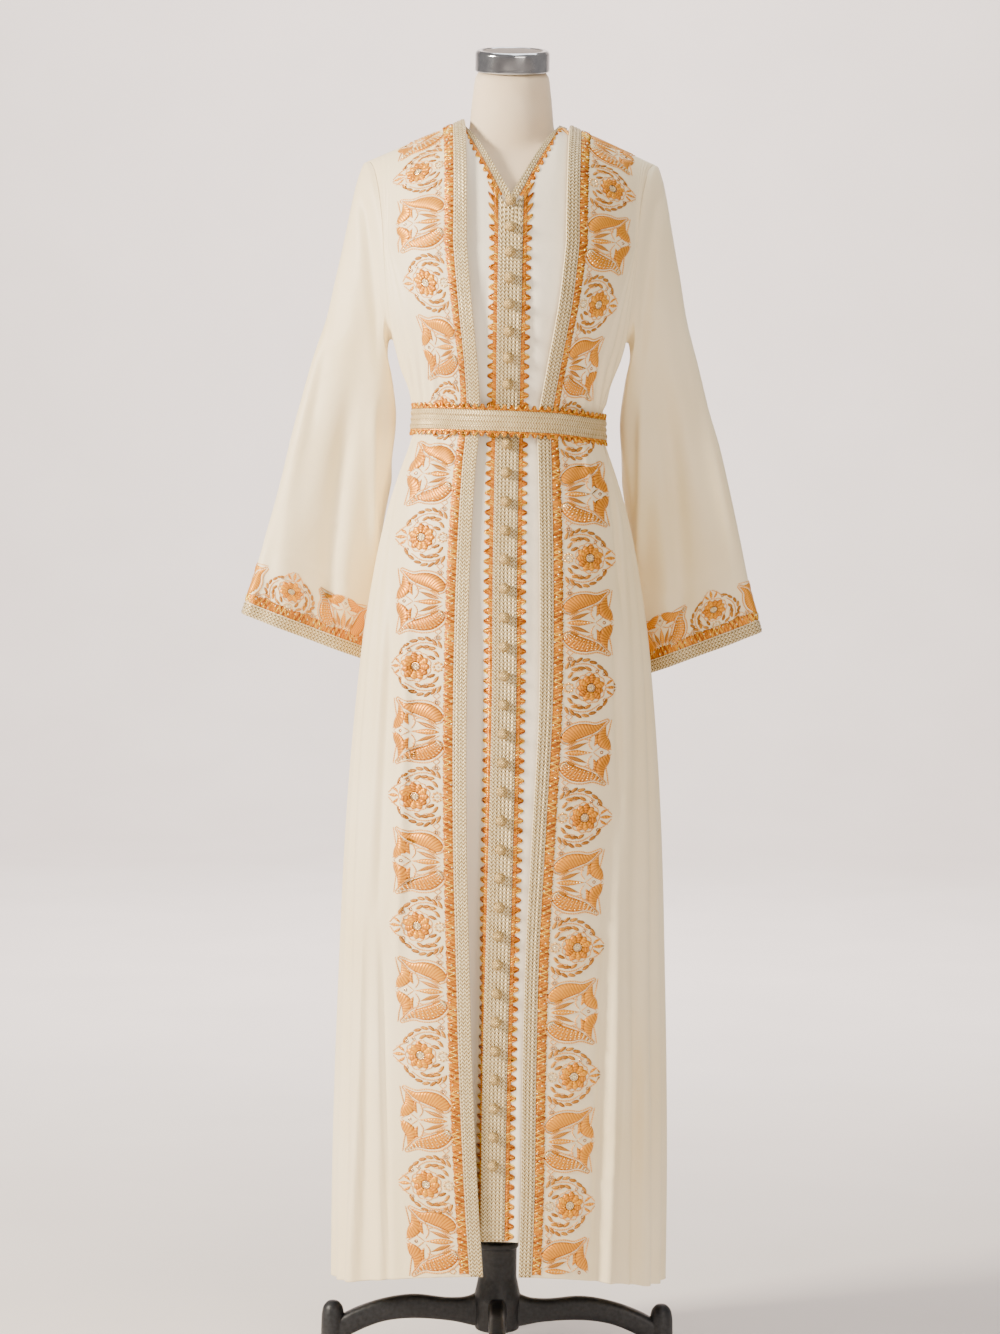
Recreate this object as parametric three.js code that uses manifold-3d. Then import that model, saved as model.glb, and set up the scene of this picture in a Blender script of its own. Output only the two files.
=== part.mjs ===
// A floor-length evening dress of Maghrebi cut on its dress form and stand.
// An open satin robe with wide sleeves lies over a V-necked inner dress, and a braided belt gathers both.
// Flat braid runs down the robe's two front edges, and a scalloped embroidered border lies beside it.
// Millimetres, +Z up, the dress faces -Y. Left and right are as seen from the front.
// The origin is on the floor under the stand's pole.
import * as THREE from "three";
import { mergeVertices } from "three/addons/utils/BufferGeometryUtils.js";
import Module from "manifold-3d";

const wasm = await Module();
wasm.setup();

// ---------------------------------------------------------------- driving dimensions
const SEAM_GAP = 0.3; // between pieces that are sewn together or lie on each other
const ROBE_CLOTH = 1.5; // wall of the robe and its sleeves
const INNER_CLOTH = 1.2; // wall of the inner dress
const SIDE = Math.PI / 2; // angle of the side seam, from the front middle
const ROUNDNESS = 0.87; // power of the sine and cosine that draw a section: 1 is an ellipse, less is squarer

const CHEST = 1470; // sections are level rings up to here, and run over the shoulder above it
const UNDERARM = 1345;
const WAIST = 1246;
const SEAM_Y = 12; // the shoulder seam's distance behind the middle
const NECK_TOP = 1637; // shoulder seam at the neck
const NECK_HALF = 62; // where the shoulder seam starts to slope
const SHOULDER_SLOPE = 0.44;
const SHOULDER_HALF = 190; // where the side of the figure meets the shoulder seam
const SHOULDER_TIP = 186;
const INNER_TIP = 172;

// Half width and depths of the robe at each height, between its folds.
const FIGURE = [
  { z: 120, wide: 214, front: 156, back: 164 },
  { z: 300, wide: 214, front: 155, back: 162 },
  { z: 500, wide: 210, front: 152, back: 158 },
  { z: 750, wide: 201, front: 147, back: 152 },
  { z: 950, wide: 185, front: 139, back: 146 },
  { z: 1060, wide: 169, front: 129, back: 138 },
  { z: 1130, wide: 154, front: 118, back: 126 },
  { z: 1180, wide: 139, front: 108, back: 114 },
  { z: 1223, wide: 124, front: 100, back: 103 },
  { z: 1246, wide: 120, front: 98, back: 100 },
  { z: 1270, wide: 122, front: 100, back: 101 },
  { z: 1305, wide: 133, front: 111, back: 106 },
  { z: 1345, wide: 147, front: 123, back: 110 },
  { z: 1385, wide: 157, front: 131, back: 112 },
  { z: 1430, wide: 164, front: 128, back: 113 },
  { z: 1470, wide: 168, front: 120, back: 112 },
];

// How far each front edge of the robe stands from the middle, and how wide the border beside it is as a share
// of its full width: it is narrower where the cloth is gathered.
const FRONT_EDGE = [
  { z: 130, left: 16, right: 25, borderLeft: 1, borderRight: 0.92 },
  { z: 262, left: 26, right: 28, borderLeft: 1, borderRight: 0.94 },
  { z: 420, left: 35, right: 28, borderLeft: 1, borderRight: 1 },
  { z: 576, left: 41, right: 30, borderLeft: 1, borderRight: 1 },
  { z: 720, left: 46, right: 36, borderLeft: 1, borderRight: 1 },
  { z: 890, left: 48, right: 43, borderLeft: 1, borderRight: 1 },
  { z: 1060, left: 46, right: 42, borderLeft: 0.98, borderRight: 0.98 },
  { z: 1180, left: 41, right: 39, borderLeft: 0.88, borderRight: 0.88 },
  { z: 1246, left: 36, right: 38, borderLeft: 0.68, borderRight: 0.68 },
  { z: 1300, left: 38, right: 46, borderLeft: 0.62, borderRight: 0.6 },
  { z: 1395, left: 48, right: 62, borderLeft: 0.76, borderRight: 0.7 },
  { z: 1470, left: 55, right: 70, borderLeft: 0.96, borderRight: 0.86 },
];
const NECK_CORNER = { left: 62, right: 76 }; // front edge at the shoulder seam
const SEAM_STEPS = [0, 14, 50, 92]; // from there along the seam to the laid columns and the first fold
const ARMHOLE = [
  { z: 1345, angle: 90 },
  { z: 1385, angle: 80 },
  { z: 1430, angle: 76 },
  { z: 1470, angle: 74 },
];
const HEM = { front: 165, side: 133, back: 145 };
const INNER_HEM = { front: 208, side: 196, back: 190 };

const BRAID_WIDE = 16; // braid on the front edges and cuffs
const BORDER_MIDDLE = 38; // from the braid to the line along the embroidered border's middle
const BORDER_WIDE = 86; // from the braid to the panel's first fold
const BRAID = { groove: 0.7, plait: 1.3 }; // heights of the front braid
const CUFF_BRAID = { edge: 0.9, plait: 1.9, top: 1.6 };
const PLACKET_BRAID = { edge: 0.9, groove: 1.1, plait: 1.9 }; // the placket's and the neck's raised plaits
const BORDER_HIGH = 1.0;
const BORDER_REPEAT = 164; // one flower and one tulip

// Heights of the rows that every cloth wall shares, and the steps over the shoulder from CHEST to the seam.
const SKIRT_ROWS = [240, 370, 500, 630, 760, 890, 1000, 1080, 1145, 1195];
const ROWS = [...SKIRT_ROWS, 1223, 1246, 1270, 1305, 1345, 1385, 1430, 1470];
const INNER_ROWS = ROWS.filter((row) => ![370, 630, 890].includes(row));
const FORM_ROWS = ROWS.filter((row) => row >= 1000 && ![1223, 1270, 1430].includes(row));
const OVER = [0.25, 0.48, 0.7, 0.87, 1];

// How deep each layer lies under the robe's outer face, on the body and at the shoulder seam.
const LAYER = {
  robe: { body: 0, seam: 0 },
  inner: { body: 8.5, seam: 6.8 },
  form: { body: 14.5, seam: 22 },
};

// Folds of one front, from its border to its side seam: how far each ridge stands out at five heights.
const FOLD_HEIGHTS = [
  { z: 130, name: "hem" },
  { z: 600, name: "knee" },
  { z: 1060, name: "hip" },
  { z: 1246, name: "waist" },
  { z: 1345, name: "ribs" },
  { z: 1470, name: "chest" },
];
const FRONT_FOLDS = [
  { share: 0, hem: 0, knee: 0, hip: 0, waist: 0, ribs: 0, chest: 0 },
  { share: 0.14, hem: 5, knee: 4, hip: 2, waist: 1.4, ribs: 3, chest: 1 },
  { share: 0.27, hem: 0, knee: 0, hip: 0, waist: 0, ribs: 0, chest: 0 },
  { share: 0.4, hem: 8, knee: 6, hip: 3, waist: 1.4, ribs: 4, chest: 2 },
  { share: 0.52, hem: 1, knee: 0, hip: 0, waist: 0, ribs: 0, chest: 0 },
  { share: 0.64, hem: 8, knee: 5, hip: 3, waist: 1.4, ribs: 4, chest: 2 },
  { share: 0.76, hem: 0, knee: 0, hip: 0, waist: 0, ribs: 0, chest: 0 },
  { share: 0.88, hem: 6, knee: 4, hip: 2, waist: 1.4, ribs: 2, chest: 0 },
  { share: 1, hem: 3, knee: 2, hip: 0, waist: 0, ribs: 0, chest: 0 },
];
const FOLD_SCALE = { left: 0.85, right: 1.2 };
const BACK_COLUMNS = 18; // even, so that one column is the middle
const BACK_FOLD = { hem: 9, knee: 6, hip: 2.5, waist: 1.4, ribs: 2.5, chest: 1 };

const COLOUR = {
  satin: { color: 0xf3ecd9, roughness: 0.42, metalness: 0 },
  innerSatin: { color: 0xf4f1ea, roughness: 0.4, metalness: 0 },
  braid: { color: 0xcdb98a, roughness: 0.45, metalness: 0.35 },
  embroidery: { color: 0xe2a163, roughness: 0.5, metalness: 0.25 },
  button: { color: 0xbfa872, roughness: 0.45, metalness: 0.35 },
  jersey: { color: 0xe9d9c2, roughness: 0.85, metalness: 0 },
  chrome: { color: 0xb9bcc2, roughness: 0.08, metalness: 1 },
  steel: { color: 0x77715f, roughness: 0.4, metalness: 0.9 },
  iron: { color: 0x24262a, roughness: 0.55, metalness: 0.5 },
};

// ---------------------------------------------------------------- reading tables
// A smooth curve through one column of a table. Its slopes are those between a row's neighbours.
function read(table, column, at, key = "z") {
  const last = table.length - 1;
  if (at <= table[0][key]) return table[0][column];
  if (at >= table[last][key]) return table[last][column];
  let i = 0;
  while (at > table[i + 1][key]) i++;
  const slope = (k) => {
    const before = table[Math.max(k - 1, 0)];
    const after = table[Math.min(k + 1, last)];
    return (after[column] - before[column]) / (after[key] - before[key]);
  };
  const low = table[i];
  const high = table[i + 1];
  const step = high[key] - low[key];
  const s = (at - low[key]) / step;
  const rise = s * s * (3 - 2 * s);
  return (
    low[column] * (1 - rise) +
    high[column] * rise +
    s * (1 - s) * step * ((1 - s) * slope(i) - s * slope(i + 1))
  );
}

const lerp = (a, b, s) => a + (b - a) * s;
const power = (value, exponent) => Math.sign(value) * Math.abs(value) ** exponent;

// ---------------------------------------------------------------- the figure's surface
// A level is a height up to CHEST, or { over } for a step on the way over the shoulder.
const isOver = (level) => typeof level === "object";
const heightOf = (level) => (isOver(level) ? CHEST : level);

// A point of the level ring at height z: angle 0 is the front middle, SIDE is +x, and PI is the back middle.
function ringPoint(angle, z, inset) {
  const wide = read(FIGURE, "wide", z) - inset;
  const deep = read(FIGURE, Math.cos(angle) > 0 ? "front" : "back", z) - inset;
  return new THREE.Vector3(
    wide * power(Math.sin(angle), ROUNDNESS),
    -deep * power(Math.cos(angle), ROUNDNESS),
    z,
  );
}

// The angle at which the robe's ring stands x to the side.
function angleOf(x, z) {
  const share = Math.min(Math.abs(x) / read(FIGURE, "wide", z), 1);
  return Math.sign(x) * Math.asin(share ** (1 / ROUNDNESS));
}

const seamHeight = (x) => NECK_TOP - Math.max(0, Math.abs(x) - NECK_HALF) * SHOULDER_SLOPE;

// The angle at which the figure's surface meets the shoulder seam x to the side.
function seamAngle(x) {
  return Math.sign(x) * Math.asin(Math.min(Math.abs(x) / SHOULDER_HALF, 1) ** (1 / ROUNDNESS));
}

// A point of a layer. Up to CHEST it lies on the ring, and above that on a quarter ellipse to the shoulder.
// A column that leaves the ring at angle meets the seam at seamX. fold moves the point out.
function layerPoint(layer, level, angle, seamX, wall, fold) {
  const over = isOver(level) ? level.over : 0;
  const inset = lerp(layer.body, layer.seam, over) + wall - fold * (1 - over);
  const onBack = Math.cos(angle) < -1e-9;
  const seamEnd = onBack ? Math.PI - seamAngle(seamX) : seamAngle(seamX);
  const turned = lerp(angle, seamEnd, over);
  const chest = ringPoint(turned, heightOf(level), inset);
  if (!over) return chest;
  const top = (SHOULDER_HALF - inset) * power(Math.sin(turned), ROUNDNESS);
  const seamY = SEAM_Y + ((onBack ? 1 : -1) * SEAM_GAP) / 2;
  const quarter = (over * Math.PI) / 2;
  return new THREE.Vector3(
    lerp(chest.x, top, over ** 1.5),
    lerp(seamY, chest.y, Math.cos(quarter)),
    lerp(CHEST, seamHeight(top) - inset, Math.sin(quarter)),
  );
}

function foldHeight(row, z) {
  return read(
    FOLD_HEIGHTS.map((h) => ({ z: h.z, out: row[h.name] })),
    "out",
    z,
  );
}

// ---------------------------------------------------------------- closed walls from grids of points
// A grid is an array of rows of points. Quads are split along the diagonal that lies deeper, so that what is
// laid on a wall never meets a ridge. ring joins the last column to the first.
function wallGeometry(outer, inner, ring = false) {
  const rows = outer.length;
  const columns = outer[0].length;
  const points = [...outer.flat(), ...inner.flat()];
  const half = rows * columns;
  const at = (r, c) => r * columns + (c % columns);
  const faces = [];
  const quad = (a, b, c, d) => faces.push([a, b, c], [a, c, d]);
  const across = ring ? columns : columns - 1;
  const middle = (i, j) => points[i].clone().add(points[j]).multiplyScalar(0.5);
  for (let r = 0; r < rows - 1; r++)
    for (let c = 0; c < across; c++) {
      const [a, b, d, e] = [at(r, c), at(r, c + 1), at(r + 1, c + 1), at(r + 1, c)];
      const out = points[a].clone().sub(points[a + half]);
      const first = middle(a, d).dot(out) <= middle(b, e).dot(out);
      if (first) {
        quad(a, b, d, e);
        quad(a + half, e + half, d + half, b + half);
      } else {
        quad(b, d, e, a);
        quad(b + half, a + half, e + half, d + half);
      }
    }
  for (let c = 0; c < across; c++) {
    quad(at(0, c + 1), at(0, c), at(0, c) + half, at(0, c + 1) + half);
    const top = rows - 1;
    quad(at(top, c), at(top, c + 1), at(top, c + 1) + half, at(top, c) + half);
  }
  if (!ring)
    for (let r = 0; r < rows - 1; r++) {
      const end = columns - 1;
      quad(at(r, 0), at(r + 1, 0), at(r + 1, 0) + half, at(r, 0) + half);
      quad(at(r + 1, end), at(r, end), at(r, end) + half, at(r + 1, end) + half);
    }
  return closedGeometry(points, faces);
}

// Points and triangles as a geometry whose faces point out, whichever way the grid ran.
function closedGeometry(points, faces) {
  let volume = 0;
  for (const [a, b, c] of faces) volume += points[a].dot(points[b].clone().cross(points[c]));
  const order = volume < 0 ? [0, 2, 1] : [0, 1, 2];
  const geometry = new THREE.BufferGeometry();
  const places = points.flatMap((p) => [p.x, p.y, p.z]);
  geometry.setAttribute("position", new THREE.Float32BufferAttribute(places, 3));
  geometry.setIndex(faces.flatMap((face) => order.map((k) => face[k])));
  geometry.computeVertexNormals();
  return geometry;
}

// A panel keeps its outer points, so that braid and embroidery can be laid on them, and its wall.
class Panel {
  constructor(outer, inner, ring = false) {
    this.outer = outer;
    this.ring = ring;
    this.geometry = wallGeometry(outer, inner, ring);
    this.normals = outer.map((row, r) => row.map((p, c) => this.normalAt(r, c, inner[r][c])));
  }

  normalAt(r, c, inside) {
    const rows = this.outer.length - 1;
    const columns = this.outer[0].length;
    const wrap = (k) => (this.ring ? (k + columns) % columns : Math.min(Math.max(k, 0), columns - 1));
    const up = this.outer[Math.min(r + 1, rows)][c].clone().sub(this.outer[Math.max(r - 1, 0)][c]);
    const along = this.outer[r][wrap(c + 1)].clone().sub(this.outer[r][wrap(c - 1)]);
    const normal = along.cross(up).normalize();
    return normal.dot(this.outer[r][c].clone().sub(inside)) < 0 ? normal.negate() : normal;
  }

  // The panel's point at a fractional row and column, moved out by lift.
  point(row, column, lift) {
    const columns = this.outer[0].length;
    const r = Math.min(Math.floor(row + 1e-9), this.outer.length - 2);
    const c = this.ring ? Math.floor(column + 1e-9) : Math.min(Math.floor(column + 1e-9), columns - 2);
    const [s, t] = [row - r, column - c];
    const mix = (grid) => {
      const cell = (i, j) => grid[i][(j + columns) % columns];
      const low = cell(r, c).clone().lerp(cell(r, c + 1), t);
      return low.lerp(cell(r + 1, c).clone().lerp(cell(r + 1, c + 1), t), s);
    };
    return mix(this.outer).addScaledVector(mix(this.normals).normalize(), lift);
  }

  // A strip laid on the panel: across is a list of { column(row), high } from one edge to the other.
  strip(rows, across, ring = false) {
    const layer = (liftOf) => rows.map((row) => across.map((a) => this.point(row, a.column(row), liftOf(a))));
    return wallGeometry(layer((a) => SEAM_GAP + a.high), layer(() => SEAM_GAP), ring);
  }
}

// Rows from first to last with each step cut into parts.
function finerRows(first, last, parts) {
  const rows = [];
  for (let k = 0; k <= (last - first) * parts; k++) rows.push(first + k / parts);
  return rows;
}

// ---------------------------------------------------------------- the robe
const hemHeight = (hem, angle) => {
  const toSide = Math.sin(angle) ** 2;
  return lerp(Math.cos(angle) > 0 ? hem.front : hem.back, hem.side, toSide);
};
const levelsFrom = (hem) => [hem, ...ROWS, ...OVER.map((over) => ({ over }))];
const armholeAngle = (z) => (z <= UNDERARM ? SIDE : THREE.MathUtils.degToRad(read(ARMHOLE, "angle", z)));

// Columns of a front: its edge, the braid's other side, the border's middle, and then the folds.
const LAID_COLUMNS = 3;
function frontPoint(side, level, column, wall) {
  const z = level === "hem" ? HEM.front : heightOf(level);
  const sign = side === "left" ? -1 : 1;
  const edge = read(FRONT_EDGE, side, z);
  const gathered = read(FRONT_EDGE, side === "left" ? "borderLeft" : "borderRight", z);
  const border = edge + BRAID_WIDE + BORDER_WIDE * gathered;
  const laid = [edge, edge + BRAID_WIDE, edge + BRAID_WIDE + BORDER_MIDDLE * gathered];
  const isLaid = column < LAID_COLUMNS;
  const folds = FRONT_FOLDS[Math.max(column - LAID_COLUMNS, 0)];
  const limit = armholeAngle(z) - (z <= UNDERARM ? SEAM_GAP / 2 / read(FIGURE, "wide", z) : 0);
  const angle = isLaid ? angleOf(laid[column], z) : lerp(angleOf(border, z), limit, folds.share);
  const onSeam = SEAM_STEPS.map((step) => NECK_CORNER[side] + step);
  const seamX = isLaid ? onSeam[column] : lerp(onSeam[LAID_COLUMNS], SHOULDER_TIP, folds.share);
  const out = foldHeight(folds, z) * (folds.share < 1 ? FOLD_SCALE[side] : 1);
  const at = level === "hem" ? hemHeight(HEM, angle) : level;
  return layerPoint(LAYER.robe, at, sign * angle, sign * seamX, wall, out);
}

function robeFront(side) {
  const columns = LAID_COLUMNS + FRONT_FOLDS.length;
  const rowAt = (level, wall) => Array.from({ length: columns }, (_, c) => frontPoint(side, level, c, wall));
  const grid = (wall) => levelsFrom("hem").map((level) => rowAt(level, wall));
  return new Panel(grid(0), grid(ROBE_CLOTH));
}

// Where the back's columns meet the shoulder seam and the neckline.
function backSeamX(column) {
  const onSeam = 4;
  const middle = BACK_COLUMNS / 2;
  const fromEdge = Math.min(column, BACK_COLUMNS - column);
  const right = column < middle;
  const corner = right ? NECK_CORNER.right : NECK_CORNER.left;
  const x =
    fromEdge <= onSeam
      ? lerp(SHOULDER_TIP, corner, fromEdge / onSeam)
      : lerp(corner, 0, (fromEdge - onSeam) / (middle - onSeam));
  return right ? x : -x;
}

// How far over the shoulder the back reaches: to the seam, or to the neckline behind the neck.
const NECKLINE_BACK = 0.56;
function backReach(seamX) {
  const corner = seamX > 0 ? NECK_CORNER.right : NECK_CORNER.left;
  const share = Math.abs(seamX) / corner;
  return share >= 1 - 1e-9 ? 1 : lerp(NECKLINE_BACK, 1, share ** 3);
}

function backPoint(level, column, wall) {
  const z = level === "hem" ? HEM.back : heightOf(level);
  const wide = read(FIGURE, "wide", z);
  const start = Math.PI - armholeAngle(z) + (z <= UNDERARM ? SEAM_GAP / 2 / wide : 0);
  const angle = lerp(start, 2 * Math.PI - start, column / BACK_COLUMNS);
  const seamX = backSeamX(column);
  const reach = backReach(seamX);
  const uneven = 0.75 + 0.35 * Math.sin(column * 2.4);
  const out =
    column === 0 || column === BACK_COLUMNS
      ? foldHeight(FRONT_FOLDS[FRONT_FOLDS.length - 1], z)
      : (column % 2) * uneven * foldHeight(BACK_FOLD, z);
  let at = level;
  if (level === "hem") at = hemHeight(HEM, angle);
  if (isOver(level)) at = { over: level.over * reach };
  return layerPoint(LAYER.robe, at, angle, seamX, wall, out);
}

function robeBack() {
  const columns = BACK_COLUMNS + 1;
  const rowAt = (level, wall) => Array.from({ length: columns }, (_, c) => backPoint(level, c, wall));
  const grid = (wall) => levelsFrom("hem").map((level) => rowAt(level, wall));
  return new Panel(grid(0), grid(ROBE_CLOTH));
}

// Scallops of the border's outer edge over one repeat: the flower's tip at 0, the tulip in the middle.
const SCALLOP = [
  { at: 0, wide: 85 },
  { at: 0.16, wide: 64 },
  { at: 0.22, wide: 56 },
  { at: 0.28, wide: 72 },
  { at: 0.5, wide: 77 },
  { at: 0.72, wide: 72 },
  { at: 0.78, wide: 56 },
  { at: 0.84, wide: 64 },
  { at: 1, wide: 85 },
];
function scallop(run) {
  const at = ((run % 1) + 1) % 1;
  let i = 0;
  while (at > SCALLOP[i + 1].at) i++;
  const [low, high] = [SCALLOP[i], SCALLOP[i + 1]];
  return lerp(low.wide, high.wide, (at - low.at) / (high.at - low.at));
}

// Heights at which a flower's tip stands, for each front.
const FLOWER_AT = { left: 1098, right: 1074 };

function frontTrims(side, panel) {
  const top = panel.outer.length - 1;
  const braid = panel.strip(finerRows(0, top, 1), [
    { column: () => 0, high: BRAID.groove },
    { column: () => 0.26, high: BRAID.plait },
    { column: () => 0.5, high: BRAID.groove },
    { column: () => 0.74, high: BRAID.plait },
    { column: () => 0.98, high: BRAID.groove },
  ]);
  // Repeats run up the border, counted from a flower's tip. The rows take in every corner of the scallops.
  const lengths = [0];
  for (let r = 0; r < top; r++) {
    const step = panel.point(r, 1, 0).distanceTo(panel.point(r + 1, 1, 0));
    lengths.push(lengths[r] + step);
  }
  const flower = FLOWER_AT[side] - panel.point(0, 1, 0).z;
  const repeats = (length) => (length - flower) / BORDER_REPEAT;
  const runAt = (row) => {
    const r = Math.min(Math.floor(row), top - 1);
    return repeats(lerp(lengths[r], lengths[r + 1], row - r));
  };
  const rows = finerRows(0, top, 1);
  for (let whole = Math.floor(runAt(0)); whole <= runAt(top); whole++)
    for (const corner of SCALLOP.slice(1)) {
      const length = (whole + corner.at) * BORDER_REPEAT + flower;
      const r = lengths.findIndex((end) => end > length) - 1;
      const row = r + (length - lengths[r]) / (lengths[r + 1] - lengths[r]);
      if (r >= 0 && rows.every((other) => Math.abs(other - row) > 0.02)) rows.push(row);
    }
  rows.sort((a, b) => a - b);
  const outside = (row) => (scallop(runAt(row)) - BORDER_MIDDLE) / (BORDER_WIDE - BORDER_MIDDLE);
  const border = panel.strip(rows, [
    { column: () => 1.02, high: BORDER_HIGH },
    { column: () => 2, high: BORDER_HIGH },
    { column: (row) => 2 + outside(row), high: BORDER_HIGH },
  ]);
  return { braid, border };
}

// ---------------------------------------------------------------- the sleeves
// Each section of a sleeve runs from its outer fold to its inner fold. height is the outer fold's, drop how
// much lower the inner fold lies, deep is half its thickness and back how far behind the middle it hangs.
const SLEEVE = [
  { along: 0.06, outer: 193, height: 1566, inner: 154, drop: 214, deep: 42, back: 12, twist: 0 },
  { along: 0.14, outer: 203, height: 1524, inner: 152, drop: 204, deep: 40, back: 15, twist: 0 },
  { along: 0.23, outer: 214, height: 1472, inner: 148, drop: 178, deep: 38, back: 18, twist: 2 },
  { along: 0.33, outer: 230, height: 1400, inner: 146, drop: 148, deep: 36, back: 22, twist: 5 },
  { along: 0.45, outer: 248, height: 1330, inner: 151, drop: 130, deep: 34, back: 26, twist: 10 },
  { along: 0.57, outer: 266, height: 1256, inner: 160, drop: 112, deep: 33, back: 30, twist: 17 },
  { along: 0.69, outer: 287, height: 1176, inner: 167, drop: 96, deep: 32, back: 34, twist: 27 },
  { along: 0.8, outer: 309, height: 1102, inner: 171, drop: 82, deep: 31, back: 37, twist: 38 },
];
const CUFF = { outer: 341, height: 988, inner: 172, drop: 66, deep: 30, back: 40, twist: 52 };
// How much each measure of the cuff grows for each millimetre up the sleeve, and the sleeve's whole length.
const CUFF_RISE = { outer: -0.27, height: 0.95, inner: -0.05, drop: 0.12, deep: 0, back: 0, twist: -0.1 };
const SLEEVE_LONG = 600;
const SLEEVE_MEETING = [0.3, 0.6, 0.85]; // how far the first sections have left the armhole's shape
const SLEEVE_START = { first: 6, step: 8 }; // and how far out from the armhole they begin
const SLEEVE_START_SLOPE = -0.2; // the sleeve leaves the armhole outward and a little down
const CUFF_STEPS = [88, BRAID_WIDE, 0]; // the sleeve's last sections, measured up from the cuff's edge
const CUFF_FLOWER = 68; // from the outer fold to a flower on the cuff
const CUFF_BORDER_SHARE = 0.72; // the cuff's border is narrower than the fronts' one
const SLEEVE_SIDE = { left: { reach: 5, lift: 6 }, right: { reach: -5, lift: -10 } };
const SLEEVE_FOLDS = [0, 2, -2, 3, -2, 4, -2, 0, 0, 2, -3, 3, -2, 3, -2, 1]; // out at the cuff, by column

// The armhole's loop from the shoulder tip down the front to the underarm and up the back.
function armholeLoop(side, front, back, pick) {
  const first = ROWS.indexOf(UNDERARM) + 1;
  const last = front.length - 1;
  const onFront = front.slice(first, last + 1).map((row) => row[row.length - 1].clone());
  const onBack = back.slice(first, last + 1).map((row) => row[side === "left" ? BACK_COLUMNS : 0].clone());
  onFront[0].add(onBack[0]).multiplyScalar(0.5);
  onFront[onFront.length - 1].add(onBack[onBack.length - 1]).multiplyScalar(0.5);
  return [...onFront.reverse(), ...onBack.slice(1, -1)];
}

function sleeveTarget(side, section, column, columns, spread) {
  const { reach, lift } = SLEEVE_SIDE[side];
  const sign = side === "left" ? -1 : 1;
  const turn = (column / columns) * 2 * Math.PI;
  const share = section.along ?? 1;
  const outer = section.outer + reach * share;
  const height = section.height + lift * share;
  const across = power(Math.cos(turn), 0.9);
  const depth = section.deep * power(Math.sin(turn), 0.8) + Math.sign(Math.sin(turn)) * spread;
  return new THREE.Vector3(
    sign * lerp(section.inner, outer, (1 + across) / 2),
    section.back + section.twist * (1 - across) * 0.5 - depth,
    height - section.drop * (1 - across) * 0.5,
  );
}

function sleeve(side, front, back) {
  const sign = side === "left" ? -1 : 1;
  const outerLoop = armholeLoop(side, front.outer, back.outer);
  const columns = outerLoop.length;
  const away = new THREE.Vector3(sign, 0, SLEEVE_START_SLOPE).normalize();
  const cuffAt = CUFF_STEPS.map((up) => {
    const section = { along: 1 - up / SLEEVE_LONG };
    for (const key of Object.keys(CUFF)) section[key] = CUFF[key] + up * CUFF_RISE[key];
    return section;
  });
  const sections = [...SLEEVE, ...cuffAt];
  const rows = [outerLoop.map((p) => p.clone().addScaledVector(away, SEAM_GAP * 1.33))];
  sections.forEach((section, k) => {
    rows.push(
      outerLoop.map((p, c) => {
        const fold = SLEEVE_FOLDS[c] * section.along;
        const target = sleeveTarget(side, section, c, columns, fold);
        const share = SLEEVE_MEETING[k] ?? 1;
        const start = p.clone().addScaledVector(away, SLEEVE_START.first + SLEEVE_START.step * k);
        return start.lerp(target, share);
      }),
    );
  });
  // The inner wall lies one cloth inside, along the normals of the outer one.
  const sumOf = (row) => row.reduce((sum, p) => sum.add(p), new THREE.Vector3());
  const centre = rows.map((row) => sumOf(row).divideScalar(columns));
  const inner = rows.map((row, r) =>
    row.map((p, c) => {
      const up = rows[Math.min(r + 1, rows.length - 1)][c].clone().sub(rows[Math.max(r - 1, 0)][c]);
      const along = row[(c + 1) % columns].clone().sub(row[(c + columns - 1) % columns]);
      const normal = along.cross(up).normalize();
      if (normal.dot(centre[r].clone().sub(p)) < 0) normal.negate();
      return p.clone().addScaledVector(normal, ROBE_CLOTH);
    }),
  );
  return new Panel(rows, inner, true);
}

function cuffTrims(panel) {
  const columns = panel.outer[0].length;
  const top = panel.outer.length - 1;
  const round = (count) => Array.from({ length: count }, (_, k) => (k / count) * columns);
  const around = (count, rowsAt) => {
    const ringAt = (rowOf, lift) => round(count).map((c) => panel.point(rowOf.row(c), c, lift));
    const layer = (liftOf) => rowsAt.map((rowOf) => ringAt(rowOf, liftOf(rowOf)));
    return wallGeometry(layer((r) => SEAM_GAP + r.high), layer(() => SEAM_GAP), true);
  };
  const braid = around(columns, [
    { row: () => top, high: CUFF_BRAID.edge },
    { row: () => top - 0.33, high: CUFF_BRAID.plait },
    { row: () => top - 0.66, high: CUFF_BRAID.edge },
    { row: () => top - 0.97, high: CUFF_BRAID.top },
  ]);
  const lengths = [0];
  for (let c = 0; c < columns; c++)
    lengths.push(lengths[c] + panel.point(top, c, 0).distanceTo(panel.point(top, c + 1, 0)));
  // Lengths are counted from the outer fold, forwards in front and backwards behind.
  const run = (c) => {
    const length = lerp(lengths[Math.floor(c)], lengths[Math.floor(c) + 1], c % 1);
    return c > columns / 2 ? length - lengths[columns] : length;
  };
  const deepest = CUFF_STEPS[0] - CUFF_STEPS[1];
  const scallopRow = (c) => {
    const wide = scallop((run(c) - CUFF_FLOWER) / BORDER_REPEAT) * CUFF_BORDER_SHARE;
    return top - 1 - wide / deepest;
  };
  const border = around(columns * 2, [
    { row: () => top - 1.02, high: BORDER_HIGH },
    { row: scallopRow, high: BORDER_HIGH },
  ]);
  return { braid, border };
}

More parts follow.
